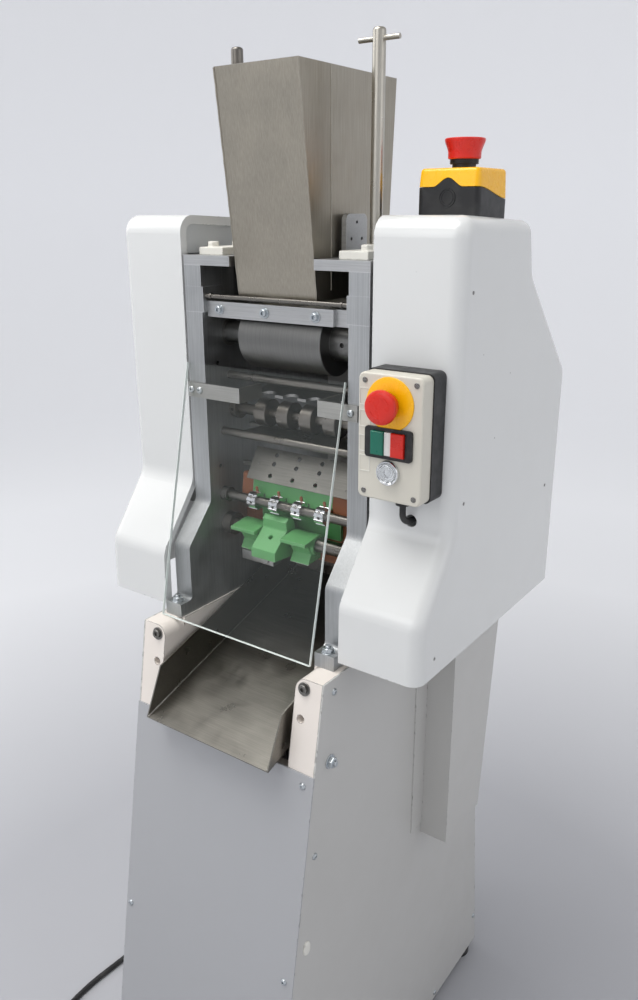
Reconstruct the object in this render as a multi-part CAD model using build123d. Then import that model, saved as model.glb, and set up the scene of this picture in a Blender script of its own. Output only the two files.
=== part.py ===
from build123d import *
import math
import os

# Dough sheeter on a tapered stand. Millimetres, +Z up, floor at Z = 0.
# X = 0 is the middle of the machine, -Y is the operator's side.
# "back" is a distance behind the front face of the side frames,
# "drop" is a distance below the top of the top plate.

# ---- overall sizes ----
GAP = 240.0            # clear width between the side frames
FRAME_T = 30.0         # side frame thickness
BASE_H = 863.0         # floor to the top of the stand
FRAME_H = 507.0        # stand top to the top plate's upper face
BASE_D = 680.0         # stand depth at the floor
COVER_W = 117.0        # width of one side cover
FRONT_Y = -84.0        # front face of the side frames

# ---- stand ----
BASE_OVERHANG = 10.0   # stand beyond the outer faces of the frames
FRONT_SLOPE = 0.17     # run per rise of the stand's front
REAR_SLOPE = 0.12      # run per rise of the stand's rear
PANEL_T = 2.0          # sheet panels
PANEL_LIFT = 14.0      # panels' lower edge above the floor
POST_W = 41.0          # front posts across X
POST_D = 40.0
POST_CORNER_R = 16.0
RAIL_H = 40.0
FRONT_PANEL_DROP = 124.0
FOOT_R = 24.0
FOOT_H = 12.0
FOOT_INSET = 34.0
PANEL_BOLT_R = 5.5

# ---- frames and top plate ----
TOE_REACH = 74.0       # front of the toes ahead of the frame face
SHIN_REACH = 50.0
TOE_H = 20.0
TOE_FILLET = 6.0
KNEE_LOW = 102.0       # above the stand
KNEE_HIGH = 159.0
FRAME_D = 300.0
REAR_CUT_DROP = 150.0  # where the rear edge starts to slope forward
TOP_T = 13.0
TOP_D = 215.0
CAP_D = 42.0
CAP_SPLIT_DROP = 41.0
CAP_LOW_DROP = 75.0
CAP_STEP = 3.0
HOPPER_SLOT_EASE = 5.0
BOLT_R = 4.0
BOLT_HEAD_R = 7.5
WASHER_R = 8.5
BOLT_SETBACK = 9.5     # bolt centre behind the toe's front
BOLT_HEAD_H = 5.5

# ---- rolls ----
ROLL_R = 45.0
ROLL_HALF = 68.0
ROLL_SHAFT_R = 15.0
ROLL_BACK = 57.0
ROLL_DROP = 107.0
ROLL_PITCH = 96.0      # centre distance of the two rolls and their gears
RUN = 0.08             # radial running clearance
EASE = 0.5             # air between parts that must not touch
BUSH_WALL = 5.0
GEAR_TEETH = 40
GEAR_W = 16.0
GEAR_OUT = 8.0         # gears outside the frame's outer face
TOOTH_H_OUT = 2.0
TOOTH_H_IN = 2.8

# ---- lower shafts ----
DISC_SHAFT_R = 8.0
DISC_R = 20.0
DISC_W = 20.0
DISC_PITCH = 40.0
DISC_BACK = 62.0
DISC_DROP = 218.0
FEED_SHAFT_R = 7.0
FEED_COLLAR_R = 13.0
FEED_COLLAR_W = 15.0
FEED_BACK = 31.0
FEED_DROP = 343.0
FINGER_SHAFT_R = 10.0
FINGER_BACK = 38.0
FINGER_DROP = 391.0
STOP_RING_W = 11.0
BELT_T = 4.0
BELT_W = 12.0
BELT_AIR = 0.4
FLANGE_T = 2.0
FLANGE_H = 6.0
ROLL_PULLEY_R = 24.0
DISC_PULLEY_R = 24.0
FEED_PULLEY_R = 18.0

# ---- rods, bars and plates between the frames ----
STAY_R = 3.0
STAY_BACK = 5.0
STAY_DROP = 53.0
TIE_R = 6.0
TIES = ((52.0, 168.0), (34.0, 248.0), (122.0, 185.0), (222.0, 95.0), (240.0, 440.0))
SCRAPER_T = 6.0
SCRAPER_TOP_DROP = 60.0
SCRAPER_H = 21.0
SCRAPER_BACK = 8.0
SCRAPER_END = 92.0
SCREW_HEAD_R = 7.0
SCREW_HEAD_H = 4.0
BRACKET_T = 3.0
BRACKET_DROP = 173.0
BRACKET_H = 21.0
BRACKET_L_REACH = 94.0
BRACKET_R_REACH = 45.0
BRACKET_LEG = 46.0
GUIDE_LEFT = 80.0
GUIDE_RIGHT = 116.0
GUIDE_LOW = (35.0, 313.0)    # back, drop of the lower edge
GUIDE_HIGH = (62.0, 271.0)
GUIDE_LUG = 8.0
GUIDE_T = 2.0
GUIDE_HOLE_R = 3.4
DIE_LEFT = 75.0
DIE_RIGHT = 67.0
DIE_FACE = [(46.0, 310.0), (40.0, 352.0)]
DIE_TOP = (50.0, 309.0)
DIE_HEEL = (78.0, 348.0)
DIE_TAIL = 390.0       # drop of the die's lower edge
DIE_FIT = 1.0          # air round the collars
BACKING_LEFT = 95.0
BACKING_RIGHT = 104.0

# ---- hopper ----
HOPPER_W = 127.0
HOPPER_RISE = 220.0
HOPPER_DROP = 52.0
HOPPER_WALL = 2.0
HOPPER_TOP_FRONT = -21.0
HOPPER_TOP_BACK = 195.0
HOPPER_LOW_FRONT = 13.0
HOPPER_LOW_BACK = 178.0

# ---- rods on top ----
ROD_R = 8.0
ROD_X = 109.0
ROD_BACK = 77.0
ROD_RISE = 258.0
ROD_END_DROP = 52.0
CROSS_PIN_R = 3.0
CROSS_PIN_L = 56.0
CROSS_PIN_DROP = 12.0
PAD_R = 9.0
PAD_H = 8.0

# ---- guard ----
GUARD_T = 4.0
GUARD_LEFT = 150.0
GUARD_RIGHT = 118.0
GUARD_TOP_DROP = 146.0
GUARD_STANDOFF = 5.5   # lower edge ahead of the toes

# ---- chute ----
CHUTE_HALF = 110.0
CHUTE_WALL = 2.0
CHUTE_SIDE_H = 55.0
CHUTE_LIP_BACK = -163.0
CHUTE_LIP_BELOW = 116.0
CHUTE_END_BACK = 190.0
CHUTE_END_BELOW = 6.0

# ---- side covers ----
COVER_GAP = 4.0
COVER_WALL = 4.0
COVER_EDGE_R = 18.0
COVER_LIP = 12.0
COVER_FOOT = 13.0      # lower edge above the stand's top
COVER_RISE = 52.0
COVER_FALL = 8.0       # the cover's top falls towards the rear
COVER_BACK = 352.0

# ---- push-button station ----
STATION_W = 86.0
STATION_H = 151.0
STATION_D = 50.0
STATION_LID = 22.0
STATION_TOP_DROP = 119.0
STATION_R = 8.0
STOP_HEAD_R = 20.0
STOP_BASE_R = 16.0
STOP_NECK_R = 11.0
STOP_HEAD_H = 18.0
STOP_TRAVEL = 4.0
STOP_DROP = 34.0       # below the station's top edge
BUTTON_DROP = 80.0
LAMP_DROP = 115.0
BUTTON_W = 22.0
BUTTON_H = 28.0
BUTTON_PROUD = 7.0
LAMP_R = 14.0
CABLE_R = 4.0
CABLE_HOLE_DROP = 308.0

# ---- stop box on the cover ----
STOP_BOX = 80.0
STOP_BOX_H = 52.0
STOP_BOX_SPLIT = 31.0
STOP_BOX_BACK = 73.0
STOP_BOX_R = 7.0
COLLAR_H = 6.5

# ---- drive ----
MOTOR_Y = 255.0        # behind the frame face
MOTOR_BELOW = 273.0    # motor shaft below the stand's top
DRIVE_PULLEY_R = 30.0
MOTOR_PULLEY_R = 25.0
DRIVE_BELT_OUT = 20.0
MOTOR_R = 70.0
BOX_GUARD_FRONT = 165.0
BOX_GUARD_OUT = 47.0
BOX_GUARD_BELOW = 408.0

# ---- mains cord ----
CORD_D = 10.0
COIL_MID_R = 58.0
COIL_R_IN = 43.0
COIL_R_OUT = 73.0
COIL_H = 30.0

# ---- derived places ----
TOP_Z = BASE_H + FRAME_H
X_IN = GAP / 2
X_OUT = X_IN + FRAME_T
X_BASE = X_OUT + BASE_OVERHANG
X_COVER = X_OUT + COVER_GAP
COVER_FACE = X_COVER + COVER_W
FLOOR_FRONT = -BASE_D / 2
FLOOR_BACK = BASE_D / 2
FRONT_TILT = math.degrees(math.atan(FRONT_SLOPE))


def at_y(back):
    return FRONT_Y + back


def at_z(drop):
    return TOP_Z - drop


def front_y(z):
    return FLOOR_FRONT + FRONT_SLOPE * z


def rear_y(z):
    return FLOOR_BACK - REAR_SLOPE * z


def block(x0, x1, y0, y1, z0, z1):
    size = Box(abs(x1 - x0), abs(y1 - y0), abs(z1 - z0))
    return Pos((x0 + x1) / 2, (y0 + y1) / 2, (z0 + z1) / 2) * size


def rod_x(r, x0, x1, y, z):
    return Pos((x0 + x1) / 2, y, z) * Rot(0, 90, 0) * Cylinder(r, abs(x1 - x0))


def rod_y(r, y0, y1, x, z):
    return Pos(x, (y0 + y1) / 2, z) * Rot(90, 0, 0) * Cylinder(r, abs(y1 - y0))


def rod_z(r, z0, z1, x, y):
    return Pos(x, y, (z0 + z1) / 2) * Cylinder(r, abs(z1 - z0))


def side_face(points, x):
    return Plane.YZ.offset(x) * make_face(Polyline(*points, close=True))


def slab_x(points, x0, x1):
    """Solid with the given outline in Y and Z between two X planes."""
    return extrude(side_face(points, x0), x1 - x0, dir=(1, 0, 0))


def mirrored(shape):
    return mirror(shape, Plane.YZ)


def both_sides(shape):
    return [shape, mirrored(shape)]


def write(name, *solids):
    flat = []
    for item in solids:
        flat.extend(item if isinstance(item, (list, tuple)) else [item])
    pieces = []
    for item in flat:
        pieces.extend(item.solids())
    part = pieces[0] if len(pieces) == 1 else Compound(children=pieces)
    part.label = name
    export_step(part, "parts/" + name + ".step")


# ------------------------------------------------------------------ stand

def base_posts():
    x0 = X_BASE - PANEL_T - POST_W
    x1 = X_BASE - PANEL_T
    low = FOOT_H
    front = slab_x([(front_y(low), low), (front_y(BASE_H), BASE_H),
                    (front_y(BASE_H) + POST_D, BASE_H), (front_y(low) + POST_D, low)], x0, x1)
    inner = front.edges().filter_by(lambda e: abs(e.center().X - x0) < 0.01
                                    and abs(e.center().Z - BASE_H) < 0.01)
    front = fillet(inner, POST_CORNER_R)
    hole_z = BASE_H - 54.0
    front -= rod_y(PANEL_BOLT_R, front_y(hole_z) - 5, front_y(hole_z) + POST_D + 5, x0 + POST_W * 0.3, hole_z)
    rear = slab_x([(rear_y(low) - POST_D, low), (rear_y(BASE_H) - POST_D, BASE_H),
                   (rear_y(BASE_H), BASE_H), (rear_y(low), low)], x0, x1)
    return both_sides(front) + both_sides(rear)


def base_rails():
    x0 = X_BASE - PANEL_T - POST_W
    x1 = X_BASE - PANEL_T
    rails = []
    for top in (BASE_H, FOOT_H + 80.0):
        bottom = top - RAIL_H
        rails += both_sides(slab_x([(front_y(bottom) + POST_D, bottom), (front_y(top) + POST_D, top),
                                    (rear_y(top) - POST_D, top), (rear_y(bottom) - POST_D, bottom)], x0, x1))
    for z in (FOOT_H + 40.0, BASE_H - FRONT_PANEL_DROP - RAIL_H - 10):
        rails.append(block(-x0, x0, front_y(z + RAIL_H) + 4, front_y(z + RAIL_H) + 4 + POST_D / 2, z, z + RAIL_H))
    for z in (FOOT_H + 40.0, BASE_H - RAIL_H):
        rails.append(block(-x0, x0, rear_y(z) - POST_D, rear_y(z) - POST_D / 2, z, z + RAIL_H))
    return rails


def make_side_panels():
    low = PANEL_LIFT
    panel = slab_x([(front_y(low), low), (front_y(BASE_H), BASE_H), (rear_y(BASE_H), BASE_H),
                    (rear_y(low), low)], X_BASE - PANEL_T, X_BASE)
    shaft_hole = rod_x(ROLL_SHAFT_R + 8, X_BASE - 10, X_BASE + 10, at_y(MOTOR_Y), BASE_H - MOTOR_BELOW)
    gland_hole = rod_x(CORD_D, -X_BASE - 10, -X_BASE + 10, GLAND_Y, GLAND_Z)
    write("side_panels", panel - shaft_hole, mirrored(panel) - gland_hole)


def make_front_panel():
    low = PANEL_LIFT
    high = BASE_H - FRONT_PANEL_DROP
    half = X_BASE
    panel = slab_x([(front_y(low) - PANEL_T, low), (front_y(high) - PANEL_T, high),
                    (front_y(high), high), (front_y(low), low)], -half, half)
    write("front_panel", panel)


def make_rear_panel():
    low = PANEL_LIFT
    panel = slab_x([(rear_y(low), low), (rear_y(BASE_H), BASE_H),
                    (rear_y(BASE_H) + PANEL_T, BASE_H), (rear_y(low) + PANEL_T, low)], -X_BASE, X_BASE)
    for row in range(7):
        z = BASE_H * 0.25 + row * 22.0
        panel -= block(-60, 60, rear_y(z) - 20, rear_y(z) + 20, z, z + 6)
    write("rear_panel", panel)


def make_levelling_feet():
    x = X_BASE - PANEL_T - POST_W / 2
    feet = []
    for y in (front_y(FOOT_H) + FOOT_INSET, rear_y(FOOT_H) - FOOT_INSET):
        foot = rod_z(FOOT_R, 0, FOOT_H, x, y)
        foot = chamfer(foot.edges().group_by(Axis.Z)[0], 2)
        feet += both_sides(foot)
    write("levelling_feet", feet)


def make_motor_plate():
    y = at_y(MOTOR_Y)
    z = BASE_H - MOTOR_BELOW - MOTOR_R - 8
    half = X_BASE - PANEL_T - POST_W
    plate = block(-half, half, y - 95, y + 95, z, z + 8)
    arms = [block(s * half, s * (X_BASE - PANEL_T), y - 20, y + 20, z - 20, z + 8) for s in (-1, 1)]
    legs = []
    for x in (-half + 12, half - 12):
        for dy in (-80, 80):
            legs.append(block(x - 12, x + 12, y + dy - 12, y + dy + 12, FOOT_H + 92, z))
    cross = [block(-half - POST_W, half + POST_W, y + dy - 12, y + dy + 12, FOOT_H + 80, FOOT_H + 92)
             for dy in (-80, 80)]
    write("motor_plate", plate + arms, legs, cross)


def make_gear_motor():
    y = at_y(MOTOR_Y)
    z = BASE_H - MOTOR_BELOW
    box = block(10, 100, y - 65, y + 65, z - MOTOR_R, z + 75)
    box = fillet(box.edges().filter_by(Axis.X), 18)
    box -= rod_x(ROLL_SHAFT_R + 1, 50, 110, y, z)
    flange = rod_x(56, 0, 10, y, z)
    body = rod_x(MOTOR_R - 2, -95, 0, y, z)
    for k in range(18):
        angle = 20 * k
        fin = block(-85, -10, y - 1.5, y + 1.5, z + MOTOR_R - 4, z + MOTOR_R + 4)
        if 70 < angle < 290:
            fin = block(-85, -10, y - 1.5, y + 1.5, z + MOTOR_R - 4, z + MOTOR_R - 0.5)
        turned = Pos(0, y, z) * Rot(angle, 0, 0) * Pos(0, -y, -z) * fin
        body += turned
    cowl = rod_x(MOTOR_R - 3, -112, -95, y, z)
    terminal = block(-70, -20, y - 35, y + 35, z + MOTOR_R - 10, z + MOTOR_R + 28)
    foot = block(20, 90, y - 60, y + 60, z - MOTOR_R, z - MOTOR_R + 10)
    write("gear_motor", box + flange + body + cowl + terminal + foot)


# ------------------------------------------------------------ mains cord

GLAND_Y = 165.0
GLAND_Z = 130.0


def make_cord():
    gland_out = X_BASE + 26
    gland = rod_x(CORD_D / 2 + 4, -gland_out, -X_BASE, GLAND_Y, GLAND_Z)
    nut = extrude(Plane.YZ.offset(-X_BASE - 8) * Pos(GLAND_Y, GLAND_Z) * RegularPolygon(13, 6), 8, dir=(1, 0, 0))
    neck = rod_x(CORD_D / 2 + 1.5, -X_BASE, -X_BASE + 18, GLAND_Y, GLAND_Z)
    cord_gland = gland + nut + neck

    tube_r = CORD_D / 2
    route = [(-gland_out, GLAND_Y, GLAND_Z), (-224, 165, 130), (-268, 162, 104), (-306, 152, 62), (-343, 124, 22), (-373, 70, 6.5),
             (-388, -10, 5.2), (-393, -100, 5.2), (-402, -190, 5.2), (-395, -262, 5.2), (-381.5, -320, 5.2)]
    radii = []
    for a, b, c in zip(route, route[1:], route[2:]):
        first = Vector(*b) - Vector(*a)
        second = Vector(*c) - Vector(*b)
        turn = math.radians(first.get_angle(second))
        radii.append(0.45 * min(first.length, second.length) / math.tan(turn / 2))
    path = FilletPolyline(*route, radius=radii)
    start = Plane(origin=route[0], z_dir=Vector(*route[1]) - Vector(*route[0]))
    tube = sweep(start * Circle(tube_r), path=path)
    print("cord radii", [round(r) for r in radii], "length", round(path.length),
          "volume ratio", round(tube.volume / (math.pi * tube_r ** 2 * path.length), 4))
    write("mains_cord", tube)

    end = Vector(*route[-1])
    heading = (end - Vector(*route[-2])).normalized()
    side = Vector(-heading.Y, heading.X, 0)
    return cord_gland, end + side * COIL_MID_R


def make_coil(centre):
    cx, cy = centre.X, centre.Y
    ring = rod_z(COIL_R_OUT, 0.2, COIL_H, cx, cy) - rod_z(COIL_R_IN, -5, COIL_H + 5, cx, cy)
    ring = fillet(ring.edges(), 5)
    write("cord_coil", ring)
    plug_y = cy - COIL_R_OUT - 26
    grip = block(cx - 36, cx + 10, plug_y - 18, plug_y + 18, 0.2, 36)
    grip = fillet(grip.edges().filter_by(Axis.X), 9)
    face = rod_x(20, cx + 10, cx + 20, plug_y, 20.2)
    pins = [rod_x(2.4, cx + 20, cx + 39, plug_y + dy, 20.2) for dy in (-9.5, 9.5)]
    plug = grip + face
    for pin in pins:
        plug += pin
    write("mains_plug", plug)


# --------------------------------------------------------- frames and top

def frame_outline():
    z0 = BASE_H
    top = TOP_Z - TOP_T
    return [(at_y(-TOE_REACH), z0), (at_y(-TOE_REACH), z0 + TOE_H), (at_y(-SHIN_REACH), z0 + TOE_H),
            (at_y(-SHIN_REACH), z0 + KNEE_LOW), (at_y(0), z0 + KNEE_HIGH), (at_y(0), TOP_Z - CAP_LOW_DROP),
            (at_y(CAP_D), TOP_Z - CAP_LOW_DROP), (at_y(CAP_D), top), (at_y(TOP_D), top),
            (at_y(FRAME_D), at_z(REAR_CUT_DROP)), (at_y(FRAME_D), z0)]


def bush_list():
    """Every shaft that passes through the frames: radius, back, drop."""
    return [(ROLL_SHAFT_R, ROLL_BACK, ROLL_DROP), (ROLL_SHAFT_R, ROLL_BACK + ROLL_PITCH, ROLL_DROP),
            (DISC_SHAFT_R, DISC_BACK, DISC_DROP), (FEED_SHAFT_R, FEED_BACK, FEED_DROP),
            (FINGER_SHAFT_R, FINGER_BACK, FINGER_DROP)]


def make_side_frames():
    frame = slab_x(frame_outline(), X_IN, X_OUT)
    curl = frame.edges().filter_by(lambda e: abs(e.center().Y - at_y(-SHIN_REACH)) < 0.01
                                   and abs(e.center().Z - BASE_H - TOE_H) < 0.01)
    frame = fillet(curl, TOE_FILLET)
    knees = frame.edges().filter_by(lambda e: (abs(e.center().Z - BASE_H - KNEE_LOW) < 0.01
                                               or abs(e.center().Z - BASE_H - KNEE_HIGH) < 0.01)
                                    and abs(e.length - FRAME_T) < 0.01)
    frame = fillet(knees, 14)
    for r, back, drop in bush_list():
        frame -= rod_x(r + BUSH_WALL, X_IN - 5, X_OUT + 5, at_y(back), at_z(drop))
    for back, drop in TIES[:2]:
        frame -= rod_x(TIE_R, X_IN - 5, X_OUT - 10, at_y(back), at_z(drop))
    for back, drop in ((27, 148), (24, 299), (100, 250), (150, 340)):
        frame -= rod_x(3, X_IN - 5, X_IN + 12, at_y(back), at_z(drop))
    frame -= rod_z(BOLT_R, BASE_H - 5, BASE_H + TOE_H + 5, X_IN + FRAME_T / 2, at_y(-TOE_REACH + BOLT_SETBACK))
    write("right_side_frame", frame)
    write("left_side_frame", mirrored(frame))


def make_shaft_bushes():
    bushes = []
    for r, back, drop in bush_list():
        y, z = at_y(back), at_z(drop)
        bush = rod_x(r + BUSH_WALL, X_IN, X_OUT, y, z) - rod_x(r + RUN, X_IN - 1, X_OUT + 1, y, z)
        bushes += both_sides(bush)
    write("shaft_bushes", bushes)


def hopper_slot_half():
    return HOPPER_W / 2 + HOPPER_SLOT_EASE


def make_top_plate():
    plate = block(-X_OUT, X_OUT, at_y(0), at_y(TOP_D), TOP_Z - TOP_T, TOP_Z)
    slot = block(-hopper_slot_half(), hopper_slot_half(), at_y(-5), at_y(HOPPER_LOW_BACK + 18),
                 TOP_Z - TOP_T - 5, TOP_Z + 5)
    plate -= slot
    plate -= rod_z(ROD_R + RUN, TOP_Z - 50, TOP_Z + 50, ROD_X, at_y(ROD_BACK))
    plate -= rod_z(ROD_R, TOP_Z - 50, TOP_Z + 50, -ROD_X, at_y(ROD_BACK))
    write("top_plate", plate)


def make_rear_guard():
    z0, z1, z2 = BASE_H + 5, at_z(REAR_CUT_DROP), TOP_Z - TOP_T
    y1, y2, t = at_y(FRAME_D), at_y(TOP_D), PANEL_T
    sheet = slab_x([(y1, z0), (y1, z1), (y2, z2), (y2 + t, z2), (y1 + t, z1), (y1 + t, z0)], -X_OUT, X_OUT)
    for row in range(8):
        z = z0 + 90 + row * 22
        sheet -= block(-70, 70, y1 - 5, y1 + t + 5, z, z + 6)
    write("rear_guard", sheet)


def make_cap_blocks():
    high = block(X_IN, X_OUT, at_y(0), at_y(CAP_D), at_z(CAP_SPLIT_DROP), TOP_Z - TOP_T)
    low = block(X_IN - CAP_STEP, X_OUT, at_y(0), at_y(CAP_D), at_z(CAP_LOW_DROP), at_z(CAP_SPLIT_DROP))
    low -= rod_x(STAY_R, X_IN - 10, X_IN + 8, at_y(STAY_BACK), at_z(STAY_DROP))
    write("cap_blocks", both_sides(high), both_sides(low))


def hex_bolt(x, y, z):
    head = extrude(Pos(x, y, z) * RegularPolygon(BOLT_HEAD_R, 6), BOLT_HEAD_H)
    washer = rod_z(WASHER_R, z - 1.5, z, x, y)
    return head + washer


def make_hex_bolts():
    bolts = []
    toe_y = at_y(-TOE_REACH + BOLT_SETBACK)
    x = X_IN + FRAME_T / 2
    shank = rod_z(BOLT_R, BASE_H, BASE_H + TOE_H, x, toe_y)
    bolts += both_sides(hex_bolt(x, toe_y, BASE_H + TOE_H + 1.5) + shank)
    side = Rot(0, 90, 0) * hex_bolt(0, 0, 1.5)
    for y, z in ((front_y(BASE_H - 118) + 33, BASE_H - 118),):
        bolts += both_sides(Pos(X_BASE, y, z) * side)
    write("hex_bolts", bolts)


def make_tie_rods():
    rods = [rod_x(STAY_R, -X_IN - 8, X_IN + 8, at_y(STAY_BACK), at_z(STAY_DROP))]
    for back, drop in TIES[:2]:
        rods.append(rod_x(TIE_R, -X_OUT + 10, X_OUT - 10, at_y(back), at_z(drop)))
    for back, drop in TIES[2:]:
        rods.append(rod_x(TIE_R, -X_IN, X_IN, at_y(back), at_z(drop)))
    post = rod_z(ROD_R, at_z(ROD_END_DROP), TOP_Z + ROD_RISE, -ROD_X, at_y(ROD_BACK))
    rods.append(fillet(post.edges().group_by(Axis.Z)[-1], 4))
    write("tie_rods", rods)


def screw_y(x, y, z, r=SCREW_HEAD_R):
    """Screw head with a washer, facing the operator."""
    head = rod_y(r * 0.72, y - SCREW_HEAD_H - 1.5, y - 1.5, x, z)
    head -= rod_y(r * 0.33, y - SCREW_HEAD_H - 2.5, y - 3, x, z)
    return head + rod_y(r, y - 1.5, y, x, z)


def make_scraper():
    z1 = at_z(SCRAPER_TOP_DROP)
    z0 = z1 - SCRAPER_H
    y0 = at_y(SCRAPER_BACK)
    y1 = y0 + SCRAPER_T
    bar = block(-X_IN + CAP_STEP, SCRAPER_END, y0, y1, z0, z1)
    lug = block(SCRAPER_END - 12, X_IN - CAP_STEP, y1, y1 + 8, z0, z1)
    blade = slab_x([(y1, z1 - 6), (y1, z1 - 10), (at_y(ROLL_BACK) - 18, at_z(ROLL_DROP) + ROLL_R - 1.0),
                    (at_y(ROLL_BACK) - 16, at_z(ROLL_DROP) + ROLL_R + 1.0)], -ROLL_HALF, ROLL_HALF)
    write("scraper_bar", bar + lug + blade)


def make_screws():
    screws = []
    zc = at_z(SCRAPER_TOP_DROP) - SCRAPER_H / 2
    for x in (-95, -17, 65):
        screws.append(screw_y(x, at_y(SCRAPER_BACK), zc))
    z_post = BASE_H - 13
    for s in (-1, 1):
        head = Rot(-FRONT_TILT, 0, 0) * screw_y(0, 0, 0, 9)
        screws.append(Pos(s * (X_BASE - 29), front_y(z_post), z_post) * head)
    dome_z = BRACKET_DROP + BRACKET_H / 2
    for x in (-X_OUT + 6, -X_OUT + 21, X_OUT - 24):
        screws.append(dome_y(x, at_y(-BRACKET_T), at_z(dome_z), 5))
    for x, z in ((X_BASE - 16, BASE_H - 140), (-X_BASE + 9, 412), (X_BASE - 15, 438), (-X_BASE + 9, 90),
                 (X_BASE - 15, 90)):
        screws.append(Pos(x, front_y(z) - PANEL_T, z) * Rot(90 - FRONT_TILT, 0, 0) * dome(4.5))
    head = Rot(0, 90, 0) * dome(4.5)
    for y, z in ((-171, 844), (-216, 618), (324, 83), (167, 26), (-236, 300), (258, 600)):
        screws += both_sides(Pos(X_BASE, y, z) * head)
    write("screws", screws)


def dome(r):
    ball = Pos(0, 0, -r * 0.75) * Sphere(r * 1.25)
    return ball & Pos(0, 0, r / 2) * Box(r * 4, r * 4, r)


def dome_y(x, y, z, r):
    return Pos(x, y, z) * Rot(90, 0, 0) * dome(r)


def make_guard_brackets():
    y0 = at_y(-BRACKET_T)
    z1 = at_z(BRACKET_DROP)
    z0 = z1 - BRACKET_H
    left = block(-X_OUT, -X_OUT + BRACKET_L_REACH, y0, at_y(0), z0, z1)
    left += block(-X_OUT + BRACKET_L_REACH - BRACKET_T, -X_OUT + BRACKET_L_REACH, at_y(0), at_y(BRACKET_LEG), z0, z1)
    right = block(X_IN - BRACKET_R_REACH, X_OUT - 14, y0, at_y(0), z0, z1)
    right += block(X_IN - BRACKET_R_REACH, X_IN - BRACKET_R_REACH + BRACKET_T, at_y(0), at_y(BRACKET_LEG), z0, z1)
    write("guard_brackets", left, right)


# ------------------------------------------------------------ moving parts

def gear_x(teeth, pitch_r, x0, x1, y, z, phase, bore_r):
    """Spur gear about X with straight flanks; phase is the angle of its first tooth."""
    root = pitch_r - TOOTH_H_IN
    tip = pitch_r + TOOTH_H_OUT
    step = 2 * math.pi / teeth
    points = []
    for k in range(teeth):
        a = phase + k * step
        for r, da in ((root, -0.33), (tip, -0.12), (tip, 0.12), (root, 0.33)):
            points.append((y + r * math.cos(a + da * step), z + r * math.sin(a + da * step)))
    return slab_x(points, x0, x1) - rod_x(bore_r, x0 - 1, x1 + 1, y, z)


def pulley_x(r, x0, x1, y, z):
    """Flat-belt pulley about X, with a flange on each side of its belt."""
    wheel = rod_x(r - BELT_AIR, x0, x1, y, z)
    low, high = min(x0, x1), max(x0, x1)
    for a, b in ((low - FLANGE_T, low), (high, high + FLANGE_T)):
        wheel += rod_x(r + FLANGE_H, a, b, y, z)
    return wheel


def belt_x(circles, x0, x1):
    """Belt round pulleys, between two X planes; circles are (y, z, r)."""
    outer = make_hull([e for y, z, r in circles for e in (Pos(y, z) * Circle(r + BELT_T)).edges()])
    inner = make_hull([e for y, z, r in circles for e in (Pos(y, z) * Circle(r)).edges()])
    band = outer - inner
    return extrude(Plane.YZ.offset(x0) * band, x1 - x0, dir=(1, 0, 0))


def roll_body(y, z, left_end, right_end):
    roll = rod_x(ROLL_R, -ROLL_HALF, ROLL_HALF, y, z)
    roll = chamfer(roll.edges().filter_by(GeomType.CIRCLE), 1.0)
    return roll + rod_x(ROLL_SHAFT_R, left_end, right_end, y, z)


X_GEAR0 = X_OUT + GEAR_OUT
X_GEAR1 = X_GEAR0 + GEAR_W
X_BELT0 = X_GEAR1 + 8.0
X_BELT1 = X_BELT0 + BELT_W + 2.0
X_DRIVE0 = X_OUT + DRIVE_BELT_OUT
X_DRIVE1 = X_DRIVE0 + BELT_W + 6.0


def make_rolls():
    y, z = at_y(ROLL_BACK), at_z(ROLL_DROP)
    pitch_r = ROLL_PITCH / 2
    front = roll_body(y, z, -X_BELT1 - 6, X_OUT + 6)
    hub = rod_x(ROLL_SHAFT_R + 9, ROLL_HALF, X_IN - 12, y, z)
    hub -= rod_y(3.5, y - ROLL_SHAFT_R - 20, y - ROLL_SHAFT_R - 3, ROLL_HALF + 20, z)
    gear = gear_x(GEAR_TEETH, pitch_r, -X_GEAR1, -X_GEAR0, y, z, 0.0, ROLL_SHAFT_R)
    wheel = pulley_x(ROLL_PULLEY_R, -X_BELT1, -X_BELT0, y, z) - rod_x(ROLL_SHAFT_R, -X_BELT1 - 9, -X_BELT0 + 9, y, z)
    write("front_roll", front + hub, gear, wheel)
    y += ROLL_PITCH
    half_tooth = math.pi / GEAR_TEETH
    rear = roll_body(y, z, -X_GEAR1 - 4, X_DRIVE1 + 8)
    gear = gear_x(GEAR_TEETH, pitch_r, -X_GEAR1, -X_GEAR0, y, z, math.pi + half_tooth, ROLL_SHAFT_R)
    write("rear_roll", rear, gear)
    pulley = pulley_x(DRIVE_PULLEY_R, X_DRIVE0, X_DRIVE1, y, z) - rod_x(ROLL_SHAFT_R, X_DRIVE0 - 9, X_DRIVE1 + 9, y, z)
    write("drive_pulley", pulley)


def columns(count=4):
    return [(k - (count - 1) / 2) * DISC_PITCH for k in range(count)]


def make_disc_shaft():
    y, z = at_y(DISC_BACK), at_z(DISC_DROP)
    shaft = rod_x(DISC_SHAFT_R, -X_BELT1 - 4, X_OUT + 4, y, z)
    for x in columns():
        disc = rod_x(DISC_R, x - DISC_W / 2, x + DISC_W / 2, y, z)
        shaft += chamfer(disc.edges().filter_by(GeomType.CIRCLE), 0.8)
    ring = rod_x(DISC_SHAFT_R + 7, -X_IN + EASE, -X_IN + EASE + STOP_RING_W, y, z)
    ring -= rod_y(2.5, y - 30, y - DISC_SHAFT_R - 1, -X_IN + EASE + STOP_RING_W / 2, z)
    shaft += ring
    wheel = pulley_x(DISC_PULLEY_R, -X_BELT1, -X_BELT0, y, z) - rod_x(DISC_SHAFT_R, -X_BELT1 - 9, -X_BELT0 + 9, y, z)
    write("disc_shaft", shaft, wheel)


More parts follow.
